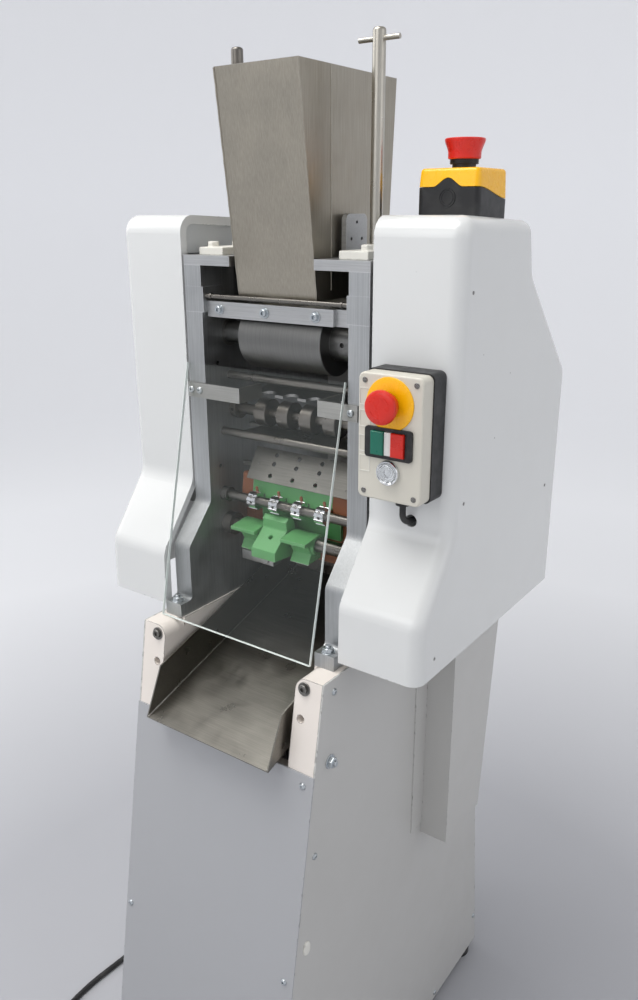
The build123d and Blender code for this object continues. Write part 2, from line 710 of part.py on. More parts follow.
def make_feed_shaft():
    y, z = at_y(FEED_BACK), at_z(FEED_DROP)
    shaft = rod_x(FEED_SHAFT_R, -X_BELT1 - 4, X_OUT + 4, y, z)
    for s in (-1, 1):
        ring = rod_x(FEED_SHAFT_R + 4, s * (X_IN - EASE), s * (X_IN - EASE - STOP_RING_W), y, z)
        shaft += ring
    wheel = pulley_x(FEED_PULLEY_R, -X_BELT1, -X_BELT0, y, z) - rod_x(FEED_SHAFT_R, -X_BELT1 - 9, -X_BELT0 + 9, y, z)
    write("feed_shaft", shaft, wheel)
    collars = []
    for x in columns():
        collar = rod_x(FEED_COLLAR_R, x - FEED_COLLAR_W / 2, x + FEED_COLLAR_W / 2, y, z)
        for k in range(8):
            a = k * math.pi / 4
            r = FEED_COLLAR_R + 1.6
            collar -= rod_x(3.0, x - FEED_COLLAR_W, x + FEED_COLLAR_W, y + r * math.cos(a), z + r * math.sin(a))
        collar -= rod_x(FEED_SHAFT_R, x - FEED_COLLAR_W, x + FEED_COLLAR_W, y, z)
        collar -= rod_y(2.2, y - 30, y, x, z)
        collars.append(collar)
    write("feed_collars", collars)


def make_feed_belt():
    x0, x1 = X_BELT0 + 1, X_BELT1 - 1
    circles = [(at_y(ROLL_BACK), at_z(ROLL_DROP), ROLL_PULLEY_R), (at_y(DISC_BACK), at_z(DISC_DROP), DISC_PULLEY_R),
               (at_y(FEED_BACK), at_z(FEED_DROP), FEED_PULLEY_R)]
    write("feed_belt", belt_x(circles, -x1, -x0))


def make_finger_shaft():
    y, z = at_y(FINGER_BACK), at_z(FINGER_DROP)
    shaft = rod_x(FINGER_SHAFT_R, -X_OUT - 22, X_OUT + 6, y, z)
    for s in (-1, 1):
        shaft += rod_x(FINGER_SHAFT_R + 7, s * (X_IN - EASE), s * (X_IN - EASE - STOP_RING_W - 4), y, z)
    x0 = -X_OUT - 18
    lever = slab_x([(y - 11, z + 6), (y + 11, z + 6), (y + 9, z - 62), (y - 9, z - 62)], x0, x0 + 9)
    lever += rod_x(16, x0, x0 + 9, y, z)
    lever -= rod_x(FINGER_SHAFT_R, x0 - 3, x0 + 12, y, z)
    lever += rod_x(6, x0 + 9, x0 + 14, y, z - 52)
    write("finger_shaft", shaft, lever)


def finger_arm(x, width):
    """Cast arm with a forward flap on top and a curved pad below."""
    y, z = at_y(FINGER_BACK), at_z(FINGER_DROP)
    x0, x1 = x - width / 2, x + width / 2
    flap = slab_x([(y - 33, z + 5), (y - 33, z + 10), (y - 6, z + 14), (y + 6, z + 14), (y + 6, z)], x0, x1)
    web = slab_x([(y - 24, z + 6), (y + 8, z + 6), (y + 12, z - 24), (y - 20, z - 26), (y - 13, z - 12)],
                 x0 + 8, x1 - 4)
    arm = flap + web + rod_x(FINGER_SHAFT_R + 5, x0 + 4, x1, y, z)
    return arm - rod_x(FINGER_SHAFT_R, x0 - 5, x1 + 5, y, z)


def make_finger_arms():
    y, z = at_y(FINGER_BACK), at_z(FINGER_DROP)
    left = finger_arm(-66, 44)
    right = finger_arm(25, 44)
    x0, x1 = -42.0, 1.0
    middle = slab_x([(y - 42, z - 10), (y - 42, z - 24), (y + 8, z - 28), (y + 14, z + 10), (y - 14, z + 14)], x0, x1)
    bump = slab_x([(y - 14, z + 13), (y - 15, z + 27), (y - 9, z + 32), (y - 2, z + 32), (y + 4, z + 27),
                   (y + 8, z + 10)], x0, x1)
    middle += bump
    middle += rod_x(FINGER_SHAFT_R + 5, x0, x1, y, z)
    middle -= rod_x(FINGER_SHAFT_R, x0 - 5, x1 + 5, y, z)
    middle -= Pos(-20, y - 24, z + 4) * Rot(25, 0, 0) * Cylinder(3.2, 30)
    write("finger_arms", left, middle, right)


# -------------------------------------------- plates and blocks of the path

def make_disc_comb():
    """Scalloped scraper behind and above the discs."""
    z1 = at_z(DISC_DROP - 36)
    y0 = at_y(DISC_BACK + 2)
    plate = slab_x([(y0, z1 - 14), (y0, z1 - 10), (at_y(TIES[2][0]), z1 + 2),
                    (at_y(TIES[2][0]), z1 - 2)], -86, 86)
    plate -= rod_x(TIE_R, -X_IN, X_IN, at_y(TIES[2][0]), at_z(TIES[2][1]))
    for x in columns():
        plate -= rod_z(13, z1 - 40, z1 + 40, x, y0 - 2)
    write("disc_comb", plate)


def make_guide_tray():
    back, drop = TIES[1]
    y0 = at_y(back) + TIE_R
    z = at_z(drop)
    tray = slab_x([(y0, z + 1), (y0, z + 3), (y0 + 64, z - 2 + 1), (y0 + 64, z - 4 + 1)], -92, 100)
    for s in (-1, 1):
        tray += block(s * 80, s * X_IN, y0 + 52, y0 + 62, z - 4, z + 1)
    write("guide_tray", tray)


def make_guide_plate():
    y0, z0 = at_y(GUIDE_LOW[0]), at_z(GUIDE_LOW[1])
    y1, z1 = at_y(GUIDE_HIGH[0]), at_z(GUIDE_HIGH[1])
    dy, dz = y1 - y0, z1 - z0
    length = math.hypot(dy, dz)
    ny, nz = dz / length * GUIDE_T, -dy / length * GUIDE_T
    plate = slab_x([(y0, z0), (y1, z1), (y1 + ny, z1 + nz), (y0 + ny, z0 + nz)], -GUIDE_LEFT, GUIDE_RIGHT)
    tilt = math.degrees(math.atan2(dz, dy))
    for share in (0.19, 0.55, 0.83):
        for x in (-DISC_PITCH, 0, DISC_PITCH):
            hole = Pos(x, y0 + share * dy, z0 + share * dz) * Rot(tilt, 0, 0) * Cylinder(GUIDE_HOLE_R, 30)
            plate -= hole
    for s, end in ((-1, GUIDE_LEFT), (1, GUIDE_RIGHT)):
        plate += block(s * (end - GUIDE_LUG), s * end, y0 + 6.5, y0 + 46, z0 + 4, z0 + 10)
        plate += block(s * (end - GUIDE_LUG), s * X_IN, y0 + 40, y0 + 46, z0 + 4, z0 + 10)
    write("guide_plate", plate)


def places(outline):
    """Back and drop pairs as Y and Z."""
    return [(at_y(back), at_z(drop)) for back, drop in outline]


def make_die():
    throat = [(64, 362), (64, DIE_TAIL), (70, DIE_TAIL), (70, 360)]
    die = slab_x(places(DIE_FACE + throat + [DIE_HEEL, DIE_TOP]), -DIE_LEFT, DIE_RIGHT)
    y, z = at_y(FEED_BACK), at_z(FEED_DROP)
    reach = FEED_COLLAR_W / 2 + DIE_FIT
    grooves = [rod_x(FEED_COLLAR_R + DIE_FIT, x - reach, x + reach, y, z) for x in columns()]
    write("die_block", die - grooves)
    rear = [DIE_TOP, DIE_HEEL, (70, 360), (70, DIE_TAIL), (74, 394), (74, 432), (98, 432), (98, 316), (62, 310)]
    backing = slab_x(places(rear), -BACKING_LEFT, BACKING_RIGHT)
    cheek = places(DIE_FACE + [(64, 362), DIE_HEEL, DIE_TOP])
    backing += slab_x(cheek, -BACKING_LEFT, -DIE_LEFT)
    backing += slab_x(cheek, DIE_RIGHT, BACKING_RIGHT)
    backing -= grooves
    for x0, x1 in ((-X_IN, -BACKING_LEFT), (BACKING_RIGHT, X_IN)):
        backing += block(x0, x1, at_y(80), at_y(98), at_z(420), at_z(380))
    write("die_backing", backing)


def make_chute():
    y0, z0 = at_y(CHUTE_LIP_BACK), BASE_H - CHUTE_LIP_BELOW
    y1, z1 = at_y(CHUTE_END_BACK), BASE_H - CHUTE_END_BELOW
    dy, dz = y1 - y0, z1 - z0
    length = math.hypot(dy, dz)
    uy, uz = dy / length, dz / length
    ny, nz = -uz, uy
    h, t = CHUTE_SIDE_H, CHUTE_WALL
    floor = slab_x([(y0, z0), (y1, z1), (y1 - ny * t, z1 - nz * t), (y0 - ny * t, z0 - nz * t)],
                   -CHUTE_HALF, CHUTE_HALF)
    side = slab_x([(y0, z0), (y1, z1), (y1 + ny * h, z1 + nz * h),
                   (y0 + uy * 50 + ny * h, z0 + uz * 50 + nz * h)], CHUTE_HALF - t, CHUTE_HALF)
    chute = floor + side + mirrored(side)
    ear = block(CHUTE_HALF, X_BASE - PANEL_T - POST_W, at_y(-60), at_y(-40), BASE_H - 74, BASE_H - 60)
    chute += ear
    chute += mirrored(ear)
    write("chute", chute)


# ---------------------------------------------------------------- hopper

def hopper_solid(inset):
    half = HOPPER_W / 2 - inset
    top = TOP_Z + HOPPER_RISE + (5 if inset else 0)
    low = TOP_Z - HOPPER_DROP - (5 if inset else 0)
    span = HOPPER_RISE + HOPPER_DROP

    def edge(z, y_top, y_low):
        share = (z - (TOP_Z - HOPPER_DROP)) / span
        return y_low + (y_top - y_low) * share

    def front(z):
        return at_y(edge(z, HOPPER_TOP_FRONT, HOPPER_LOW_FRONT)) + inset

    def back(z):
        return at_y(edge(z, HOPPER_TOP_BACK, HOPPER_LOW_BACK)) - inset

    return slab_x([(front(low), low), (front(top), top), (back(top), top), (back(low), low)], -half, half)


def make_hopper():
    shell = hopper_solid(0) - hopper_solid(HOPPER_WALL)
    tabs = [block(s * HOPPER_W / 2, s * (X_IN - 20), at_y(120), at_y(150), TOP_Z, TOP_Z + 2) for s in (-1, 1)]
    for tab in tabs:
        shell += tab
    write("hopper", shell)


def make_hopper_bracket():
    x0 = HOPPER_W / 2 + 6
    x1 = x0 + 7
    y0, y1 = at_y(59), at_y(107)
    plate = block(x0, x1, y0, y1, TOP_Z, TOP_Z + 52)
    plate = fillet(plate.edges().filter_by(Axis.X), 8)
    for y, z in (((y0 + y1) / 2, 42), (y0 + 12, 22), (y1 - 12, 22)):
        plate -= rod_x(2.2, x0 - 5, x1 + 5, y, TOP_Z + z)
    foot = block(x1, x1 + 16, y1 - 26, y1 - 8, TOP_Z, TOP_Z + 6)
    write("hopper_bracket", plate + foot)


def make_rod_blocks():
    y = at_y(ROD_BACK)
    blocks = []
    for s in (-1, 1):
        r = ROD_R + (RUN if s > 0 else 0)
        body = block(s * (X_IN - 26), s * (X_OUT - 14), y - 60, y + 16, TOP_Z, TOP_Z + 10)
        body += rod_z(15, TOP_Z, TOP_Z + 16, s * ROD_X, y)
        body -= rod_z(r, TOP_Z - 5, TOP_Z + 30, s * ROD_X, y)
        body += extrude(Pos(s * (X_IN + 4), y - 44, TOP_Z + 10) * RegularPolygon(8, 6), 7)
        blocks.append(body)
    write("rod_blocks", blocks)


def make_spindle():
    y = at_y(ROD_BACK)
    z0, z1 = at_z(ROD_END_DROP), TOP_Z + ROD_RISE
    rod = rod_z(ROD_R, z0, z1, ROD_X, y)
    rod = fillet(rod.edges().group_by(Axis.Z)[-1], 4)
    pin = rod_x(CROSS_PIN_R, ROD_X - CROSS_PIN_L / 2, ROD_X + CROSS_PIN_L / 2, y, z1 - CROSS_PIN_DROP)
    write("t_spindle", rod + pin)
    pad = rod_z(PAD_R, z0 - EASE - PAD_H, z0 - EASE, ROD_X, y)
    write("pressure_pad", pad)


# ----------------------------------------------------------------- guard

def make_guard():
    y0, z0 = at_y(-TOE_REACH - GUARD_STANDOFF), BASE_H + EASE
    y1, z1 = at_y(-EASE), at_z(GUARD_TOP_DROP)
    dy, dz = y1 - y0, z1 - z0
    length = math.hypot(dy, dz)
    ny, nz = -dz / length * GUARD_T, dy / length * GUARD_T
    sheet = slab_x([(y0, z0), (y1, z1), (y1 + ny, z1 + nz), (y0 + ny, z0 + nz)], -GUARD_LEFT, GUARD_RIGHT)
    write("guard", sheet)


# ---------------------------------------------------------------- covers

def cover_points(inset):
    z0 = BASE_H + COVER_FOOT
    low = z0 if inset == 0 else z0 - 12
    return [((at_y(-70 + inset), low), 0), ((at_y(-68 + inset), z0 + 80), 30), ((at_y(0 + inset), z0 + 172), 36),
            ((at_y(0 + inset), TOP_Z + COVER_RISE - inset), 24),
            ((at_y(190 - inset), TOP_Z + COVER_RISE - COVER_FALL - inset), 16),
            ((at_y(206 - inset), at_z(20)), 26), ((at_y(350 - inset), at_z(160)), 30),
            ((at_y(COVER_BACK - inset), low), 0)]


def cover_profile(inset, x):
    places = cover_points(inset)
    face = side_face([p for p, r in places], x)
    for (y, z), r in places:
        if r > 0:
            corner = [v for v in face.vertices() if abs(v.Y - y) < 0.01 and abs(v.Z - z) < 0.01]
            face = fillet(corner, max(r - inset, 2))
    return face


def cover_block(inset):
    far = COVER_FACE - inset
    near = X_COVER if inset == 0 else X_COVER - 10
    solid = extrude(cover_profile(inset, near), far - near, dir=(1, 0, 0))
    outer = [e for e in solid.faces().sort_by(Axis.X)[-1].edges() if e.center().Z > BASE_H + COVER_FOOT + 1]
    return fillet(outer, COVER_EDGE_R - inset)


def make_covers():
    shell = cover_block(0) - cover_block(COVER_WALL)
    lip_outer = cover_profile(COVER_WALL, X_COVER)
    lip_inner = cover_profile(COVER_LIP, X_COVER)
    lip = extrude(lip_outer, 3, dir=(1, 0, 0)) - extrude(lip_inner, 8, dir=(1, 0, 0))
    lip &= block(X_COVER - 1, X_COVER + 4, -900, 900, BASE_H + COVER_FOOT, TOP_Z + 100)
    shell += lip
    right = shell - rod_y(CABLE_R + 4, at_y(-10), at_y(12), STATION_X + 4, at_z(CABLE_HOLE_DROP))
    write("right_cover", right)
    write("left_cover", mirrored(shell))


def make_belt_guard():
    y0 = at_y(BOX_GUARD_FRONT)
    z0 = BASE_H - BOX_GUARD_BELOW
    z1 = BASE_H + COVER_FOOT + 60
    y1 = at_y(283)
    y2 = at_y(320)
    t = PANEL_T
    x1 = X_BASE + BOX_GUARD_OUT

    def outline(g):
        return [(y0 + g, z0 + g), (y0 + g, z1 + (9 if g else 0)), (y2 - g, z1 + (9 if g else 0)),
                (y2 - g, BASE_H - 40), (y1 - g, z0 + g)]

    box = slab_x(outline(0), X_BASE, x1) - slab_x(outline(t), X_BASE - 5, x1 - t)
    flange = block(X_BASE, X_BASE + t, y0 - 34, y0 + 1, z0 + 20, BASE_H)
    write("belt_guard", box + flange)


def make_drive():
    y0, z0 = at_y(MOTOR_Y), BASE_H - MOTOR_BELOW
    y1, z1 = at_y(ROLL_BACK + ROLL_PITCH), at_z(ROLL_DROP)
    shaft_r = ROLL_SHAFT_R
    pulley = pulley_x(MOTOR_PULLEY_R, X_DRIVE0, X_DRIVE1, y0, z0)
    pulley += rod_x(shaft_r, 60, X_DRIVE1 + 6, y0, z0)
    write("motor_pulley", pulley)
    circles = [(y0, z0, MOTOR_PULLEY_R), (y1, z1, DRIVE_PULLEY_R)]
    write("drive_belt", belt_x(circles, X_DRIVE0 + 1, X_DRIVE1 - 1))


# ------------------------------------------------------- control station

STATION_X = X_COVER + COVER_W / 2 - 1.5
STATION_TOP = TOP_Z - STATION_TOP_DROP
STATION_BACK_Y = FRONT_Y - 0.4
STATION_FRONT_Y = STATION_BACK_Y - STATION_D
STATION_SPLIT_Y = STATION_FRONT_Y + STATION_LID


def station_block(y0, y1, grow=0.0):
    x0 = STATION_X - STATION_W / 2 - grow
    x1 = STATION_X + STATION_W / 2 + grow
    solid = block(x0, x1, y0, y1, STATION_TOP - STATION_H - grow, STATION_TOP + grow)
    return fillet(solid.edges().filter_by(Axis.Y), STATION_R)


def make_station():
    base = station_block(STATION_SPLIT_Y, STATION_BACK_Y, 1.5)
    write("station_base", base)
    lid = station_block(STATION_FRONT_Y, STATION_SPLIT_Y)
    rim = [e for e in lid.faces().sort_by(Axis.Y)[0].edges()]
    lid = fillet(rim, 2.5)
    deep = STATION_FRONT_Y + 16
    lid -= rod_y(STOP_NECK_R + EASE, STATION_FRONT_Y - 5, deep, STATION_X, STATION_TOP - STOP_DROP)
    zb = STATION_TOP - BUTTON_DROP
    lid -= block(STATION_X - BUTTON_W - 1.5, STATION_X + BUTTON_W + 1.5, STATION_FRONT_Y - 5, deep,
                 zb - BUTTON_H / 2 - EASE, zb + BUTTON_H / 2 + EASE)
    write("station_lid", lid)


def make_station_stop():
    z = STATION_TOP - STOP_DROP
    y = STATION_FRONT_Y
    proud = STOP_TRAVEL + 3
    write("station_stop_stem", rod_y(STOP_NECK_R, y - proud, y + 12, STATION_X, z))
    profile = [(0, -proud), (STOP_BASE_R, -proud), (STOP_HEAD_R, -proud - STOP_HEAD_H + 4),
               (STOP_HEAD_R - 2, -proud - STOP_HEAD_H), (0, -proud - STOP_HEAD_H)]
    write("station_stop_button", turned_knob(profile, STATION_X, y, z))


def turned_knob(profile, x, y, z):
    """Solid of revolution about a line along Y; profile is (radius, offset along Y)."""
    face = make_face(Polyline(*[(r, v) for r, v in profile], close=True))
    knob = revolve(face, Axis.Y)
    return Pos(x, y, z) * knob


def make_station_buttons():
    zb = STATION_TOP - BUTTON_DROP
    y0 = STATION_FRONT_Y - BUTTON_PROUD
    y1 = STATION_FRONT_Y + 10
    start = block(STATION_X - BUTTON_W, STATION_X - 5, y0, y1, zb - BUTTON_H / 2, zb + BUTTON_H / 2)
    stop = block(STATION_X + 5, STATION_X + BUTTON_W, y0, y1, zb - BUTTON_H / 2, zb + BUTTON_H / 2)
    write("start_button", fillet(start.faces().sort_by(Axis.Y)[0].edges(), 1.2))
    write("stop_button", fillet(stop.faces().sort_by(Axis.Y)[0].edges(), 1.2))
    lamp = rod_y(LAMP_R, STATION_FRONT_Y - 9, STATION_FRONT_Y, STATION_X, STATION_TOP - LAMP_DROP)
    lamp = fillet(lamp.edges().group_by(Axis.Y)[0], 3)
    write("indicator_lamp", lamp)


def make_station_cable(cord_gland):
    z0 = STATION_TOP - STATION_H - 1.5
    x = STATION_X
    y = (STATION_SPLIT_Y + STATION_BACK_Y) / 2
    gland = rod_z(9, z0 - 12, z0, x, y)
    gland += extrude(Pos(x, y, z0 - 5) * RegularPolygon(11.5, 6), 5)
    write("cable_glands", cord_gland, gland)
    z1 = z0 - 12
    hole_z = at_z(CABLE_HOLE_DROP)
    route = [(x, y, z1), (x, y, hole_z), (x + 6, FRONT_Y + 20, hole_z)]
    path = FilletPolyline(*route, radius=13)
    start = Plane(origin=route[0], z_dir=Vector(*route[1]) - Vector(*route[0]))
    write("station_cable", sweep(start * Circle(CABLE_R), path=path))


def make_stop_box():
    x0 = COVER_FACE - 103
    x1 = x0 + STOP_BOX
    y0 = at_y(STOP_BOX_BACK)
    y1 = y0 + STOP_BOX
    z0 = TOP_Z + COVER_RISE - 1.5
    split = z0 + STOP_BOX_SPLIT
    z1 = z0 + STOP_BOX_H
    base = block(x0, x1, y0, y1, z0 - COVER_FALL, split)
    base = fillet(base.edges().filter_by(Axis.Z), STOP_BOX_R) - cover_block(0)
    lid = block(x0, x1, y0, y1, split, z1)
    lid = fillet(lid.edges().filter_by(Axis.Z), STOP_BOX_R)
    lid = fillet(lid.faces().sort_by(Axis.Z)[-1].edges(), 5)
    cx, cy = (x0 + x1) / 2, (y0 + y1) / 2
    lid -= rod_z(14 + EASE, split + 6, z1 + 5, cx, cy)
    write("stop_box_base", base)
    write("stop_box_lid", lid)
    stem = rod_z(14, z1 - 10, z1 + STOP_TRAVEL + 1, cx, cy)
    stem += rod_z(16.5, z1 + STOP_TRAVEL + 1, z1 + STOP_TRAVEL + COLLAR_H, cx, cy)
    write("stop_box_stem", stem)
    profile = [(0, 0), (19.5, 0), (20, 8), (24, 21), (22, 23), (0, 23)]
    face = Plane.XZ * make_face(Polyline(*profile, close=True))
    write("stop_box_button", Pos(cx, cy, z1 + STOP_TRAVEL + COLLAR_H) * revolve(face, Axis.Z))


os.makedirs("parts", exist_ok=True)
write("base_frame", base_posts(), base_rails())
make_side_panels()
make_front_panel()
make_rear_panel()
make_levelling_feet()
make_motor_plate()
make_gear_motor()
cord_gland, coil_centre = make_cord()
make_coil(coil_centre)
make_side_frames()
make_shaft_bushes()
make_top_plate()
make_rear_guard()
make_cap_blocks()
make_hex_bolts()
make_tie_rods()
make_scraper()
make_screws()
make_guard_brackets()
make_rolls()
make_disc_shaft()
make_feed_shaft()
make_feed_belt()
make_finger_shaft()
make_finger_arms()
make_disc_comb()
make_guide_tray()
make_guide_plate()
make_die()
make_chute()
make_hopper()
make_hopper_bracket()
make_rod_blocks()
make_spindle()
make_guard()
make_covers()
make_belt_guard()
make_drive()
make_station()
make_station_stop()
make_station_buttons()
make_station_cable(cord_gland)
make_stop_box()
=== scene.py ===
"""Looks of a hopper-fed dough sheeter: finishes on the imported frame, small pieces, cord, light and camera."""
from __future__ import annotations

import logging
import math
from dataclasses import dataclass, field
from enum import Enum

import bmesh
import bpy
from mathutils import Matrix, Vector

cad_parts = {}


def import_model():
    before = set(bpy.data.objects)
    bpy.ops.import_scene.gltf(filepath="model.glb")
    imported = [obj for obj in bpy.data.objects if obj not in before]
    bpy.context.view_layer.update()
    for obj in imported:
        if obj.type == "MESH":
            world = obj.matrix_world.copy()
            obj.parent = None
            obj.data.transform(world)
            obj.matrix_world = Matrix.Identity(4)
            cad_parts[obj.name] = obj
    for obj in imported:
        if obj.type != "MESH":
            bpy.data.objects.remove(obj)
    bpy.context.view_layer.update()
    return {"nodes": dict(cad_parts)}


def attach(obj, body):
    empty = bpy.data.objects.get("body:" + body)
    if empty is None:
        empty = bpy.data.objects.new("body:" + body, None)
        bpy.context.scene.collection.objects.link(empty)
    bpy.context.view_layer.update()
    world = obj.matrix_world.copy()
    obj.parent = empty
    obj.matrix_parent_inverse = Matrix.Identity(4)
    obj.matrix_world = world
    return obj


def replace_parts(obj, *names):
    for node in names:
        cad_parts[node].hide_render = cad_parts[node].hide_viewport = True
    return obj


LOG = logging.getLogger("sheeter")
MM = 0.001
Point = tuple[float, float, float]
Pair = tuple[float, float]
Colour = tuple[float, float, float]
Socket = bpy.types.NodeSocket


def lin(r: int, g: int, b: int) -> Colour:
    """Linear colour of an 8-bit display colour."""
    def one(v: int) -> float:
        """Linear value of one channel."""
        c = v / 255
        return c / 12.92 if c <= 0.04045 else ((c + 0.055) / 1.055) ** 2.4
    return (one(r), one(g), one(b))


# ------------------------------------------------------------------ finishes

class Grain(Enum):
    """Direction in which a surface was brushed, milled or turned."""

    ALONG_X = (0.02, 1.0, 1.0)
    ALONG_Y = (1.0, 0.02, 1.0)
    ALONG_Z = (1.0, 1.0, 0.02)
    ROUND_X = (1.0, 0.0, 0.0)
    NONE = (1.0, 1.0, 1.0)


class Tree:
    """Short names for the nodes that a finish needs."""

    def __init__(self, name: str) -> None:
        """Start an empty material called name with one surface shader."""
        self.material = bpy.data.materials.new(name)
        self.material.use_nodes = True
        self.nodes = self.material.node_tree.nodes
        self.links = self.material.node_tree.links
        self.shader = self.nodes["Principled BSDF"]
        self.place = self.nodes.new("ShaderNodeTexCoord").outputs["Object"]

    def set(self, **values: object) -> None:
        """Set constant shader sockets; underscores stand for spaces."""
        for key, value in values.items():
            self.shader.inputs[key.replace("_", " ")].default_value = value

    def link(self, source: Socket, target: Socket) -> None:
        """Join two sockets."""
        self.links.new(source, target)

    def stretched(self, scale: Point) -> Socket:
        """Object coordinates multiplied by scale."""
        node = self.nodes.new("ShaderNodeMapping")
        node.inputs["Scale"].default_value = scale
        self.link(self.place, node.inputs["Vector"])
        return node.outputs["Vector"]

    def noise(self, scale: float, detail: float = 3.0, stretch: Point = (1, 1, 1), rough: float = 0.55
              ) -> Socket:
        """Cloudy noise factor.

        Args:
            scale: Features per metre.
            detail: Octaves.
            stretch: Scale of each axis, to draw the noise out into streaks.
            rough: Strength of the fine octaves.

        Returns:
            The factor socket.
        """
        node = self.nodes.new("ShaderNodeTexNoise")
        node.inputs["Scale"].default_value = scale
        node.inputs["Detail"].default_value = detail
        node.inputs["Roughness"].default_value = rough
        self.link(self.stretched(stretch), node.inputs["Vector"])
        return node.outputs["Fac"]

    def cells(self, scale: float, stretch: Point = (1, 1, 1)) -> Socket:
        """Distance to scattered points, for chips and pits."""
        node = self.nodes.new("ShaderNodeTexVoronoi")
        node.inputs["Scale"].default_value = scale
        self.link(self.stretched(stretch), node.inputs["Vector"])
        return node.outputs["Distance"]

    def span(self, value: Socket, low: float, high: float, to_low: float = 0.0,
             to_high: float = 1.0) -> Socket:
        """Map low..high of a factor on to to_low..to_high, clamped."""
        node = self.nodes.new("ShaderNodeMapRange")
        for key, number in (("From Min", low), ("From Max", high), ("To Min", to_low), ("To Max", to_high)):
            node.inputs[key].default_value = number
        self.link(value, node.inputs["Value"])
        return node.outputs["Result"]

    def maths(self, kind: str, a: Socket, b: Socket | float) -> Socket:
        """One arithmetic node on two values."""
        node = self.nodes.new("ShaderNodeMath")
        node.operation = kind
        node.use_clamp = True
        self.link(a, node.inputs[0])
        if isinstance(b, float):
            node.inputs[1].default_value = b
        else:
            self.link(b, node.inputs[1])
        return node.outputs[0]

    def mix(self, factor: Socket, a: Colour | Socket, b: Colour | Socket) -> Socket:
        """Blend two colours by a factor."""
        node = self.nodes.new("ShaderNodeMix")
        node.data_type = "RGBA"
        self.link(factor, node.inputs[0])
        for socket, value in ((node.inputs[6], a), (node.inputs[7], b)):
            if isinstance(value, tuple):
                socket.default_value = (*value, 1.0)
            else:
                self.link(value, socket)
        return node.outputs[2]

    def edges(self, radius: float) -> Socket:
        """1 beside sharp edges, 0 on flats.

        Args:
            radius: Reach of the worn band in metres.

        Returns:
            The mask socket.
        """
        soft = self.nodes.new("ShaderNodeBevel")
        soft.samples = 4
        soft.inputs["Radius"].default_value = radius
        normal = self.nodes.new("ShaderNodeNewGeometry")
        dot = self.nodes.new("ShaderNodeVectorMath")
        dot.operation = "DOT_PRODUCT"
        self.link(soft.outputs["Normal"], dot.inputs[0])
        self.link(normal.outputs["Normal"], dot.inputs[1])
        return self.span(dot.outputs["Value"], 0.97, 0.80)

    def bump(self, height: Socket, strength: float, distance: float) -> None:
        """Roughen the shading normal with a height factor."""
        node = self.nodes.new("ShaderNodeBump")
        node.inputs["Strength"].default_value = strength
        node.inputs["Distance"].default_value = distance
        self.link(height, node.inputs["Height"])
        self.link(node.outputs["Normal"], self.shader.inputs["Normal"])

    def colour(self, socket: Socket) -> None:
        """Send a colour to the shader."""
        self.link(socket, self.shader.inputs["Base Color"])

    def rough(self, socket: Socket) -> None:
        """Send a roughness to the shader."""
        self.link(socket, self.shader.inputs["Roughness"])


@dataclass(frozen=True)
class Finish:
    """One surface finish, with the name of its slot."""

    name: str
    slot: str
    base: Colour

    def material(self) -> bpy.types.Material:
        """The material, made on first use."""
        known = bpy.data.materials.get(self.name)
        return known if known is not None else self.build()

    def build(self) -> bpy.types.Material:
        """Make the material; each kind of finish has its own way."""
        raise NotImplementedError


@dataclass(frozen=True)
class Metal(Finish):
    """Bare metal with the fine lines its making left, a few dull patches and bright worn edges."""

    grain: Grain = Grain.NONE
    lines: float = 900.0
    sheen: Pair = (0.28, 0.46)
    stain: Colour = (0.25, 0.22, 0.18)
    stained: float = 0.25
    worn: float = 0.0
    relief: float = 0.12

    def build(self) -> bpy.types.Material:
        """Make the metal."""
        tree = Tree(self.name)
        tree.set(Metallic=1.0)
        streak = tree.noise(self.lines, 4.0, self.grain.value, 0.7)
        cloud = tree.noise(5.0, 2.0)
        patch = tree.span(cloud, 0.50, 0.90, 0.0, self.stained)
        tone = tree.mix(tree.span(streak, 0.25, 0.75), tuple(c * 0.80 for c in self.base),
                        tuple(min(c * 1.12, 1.0) for c in self.base))
        tone = tree.mix(patch, tone, self.stain)
        if self.worn > 0:
            tone = tree.mix(tree.maths("MULTIPLY", tree.edges(0.0015), self.worn), tone, (0.85, 0.85, 0.86))
        tree.colour(tone)
        fog = tree.span(tree.noise(30.0, 4.0), 0.3, 0.7, self.sheen[0], self.sheen[1])
        tree.rough(fog)
        tree.bump(streak, self.relief, 0.0004)
        return tree.material


@dataclass(frozen=True)
class Paint(Finish):
    """Sprayed or brushed coat with a soft skin, faint dirt and chips down to a darker ground."""

    gloss: Pair = (0.25, 0.40)
    ground: Colour = (0.05, 0.045, 0.04)
    chipped: float = 0.0
    edge_wear: float = 0.0
    dirt: Colour = (0.35, 0.33, 0.29)
    dirty: float = 0.10
    peel: float = 0.05
    coat: float = 0.0

    def build(self) -> bpy.types.Material:
        """Make the paint."""
        tree = Tree(self.name)
        tree.set(Coat_Weight=self.coat, Coat_Roughness=0.08)
        cloud = tree.noise(6.0, 6.0, rough=0.6)
        tone = tree.mix(tree.span(cloud, 0.50, 0.80, 0.0, self.dirty), self.base, self.dirt)
        if self.chipped > 0:
            spots = tree.span(tree.cells(34.0), 0.05 * self.chipped, 0.02 * self.chipped)
            gate = tree.span(tree.noise(11.0, 2.0), 0.55, 0.60)
            tone = tree.mix(tree.maths("MULTIPLY", spots, gate), tone, self.ground)
        if self.edge_wear > 0:
            start = 0.62 - 0.25 * self.edge_wear
            ragged = tree.span(tree.noise(140.0, 4.0), start, start + 0.04)
            tone = tree.mix(tree.maths("MULTIPLY", tree.edges(0.002), ragged), tone, self.ground)
        tree.colour(tone)
        tree.rough(tree.span(tree.noise(22.0, 4.0), 0.3, 0.7, self.gloss[0], self.gloss[1]))
        tree.bump(tree.noise(260.0, 2.0), self.peel, 0.0006)
        return tree.material


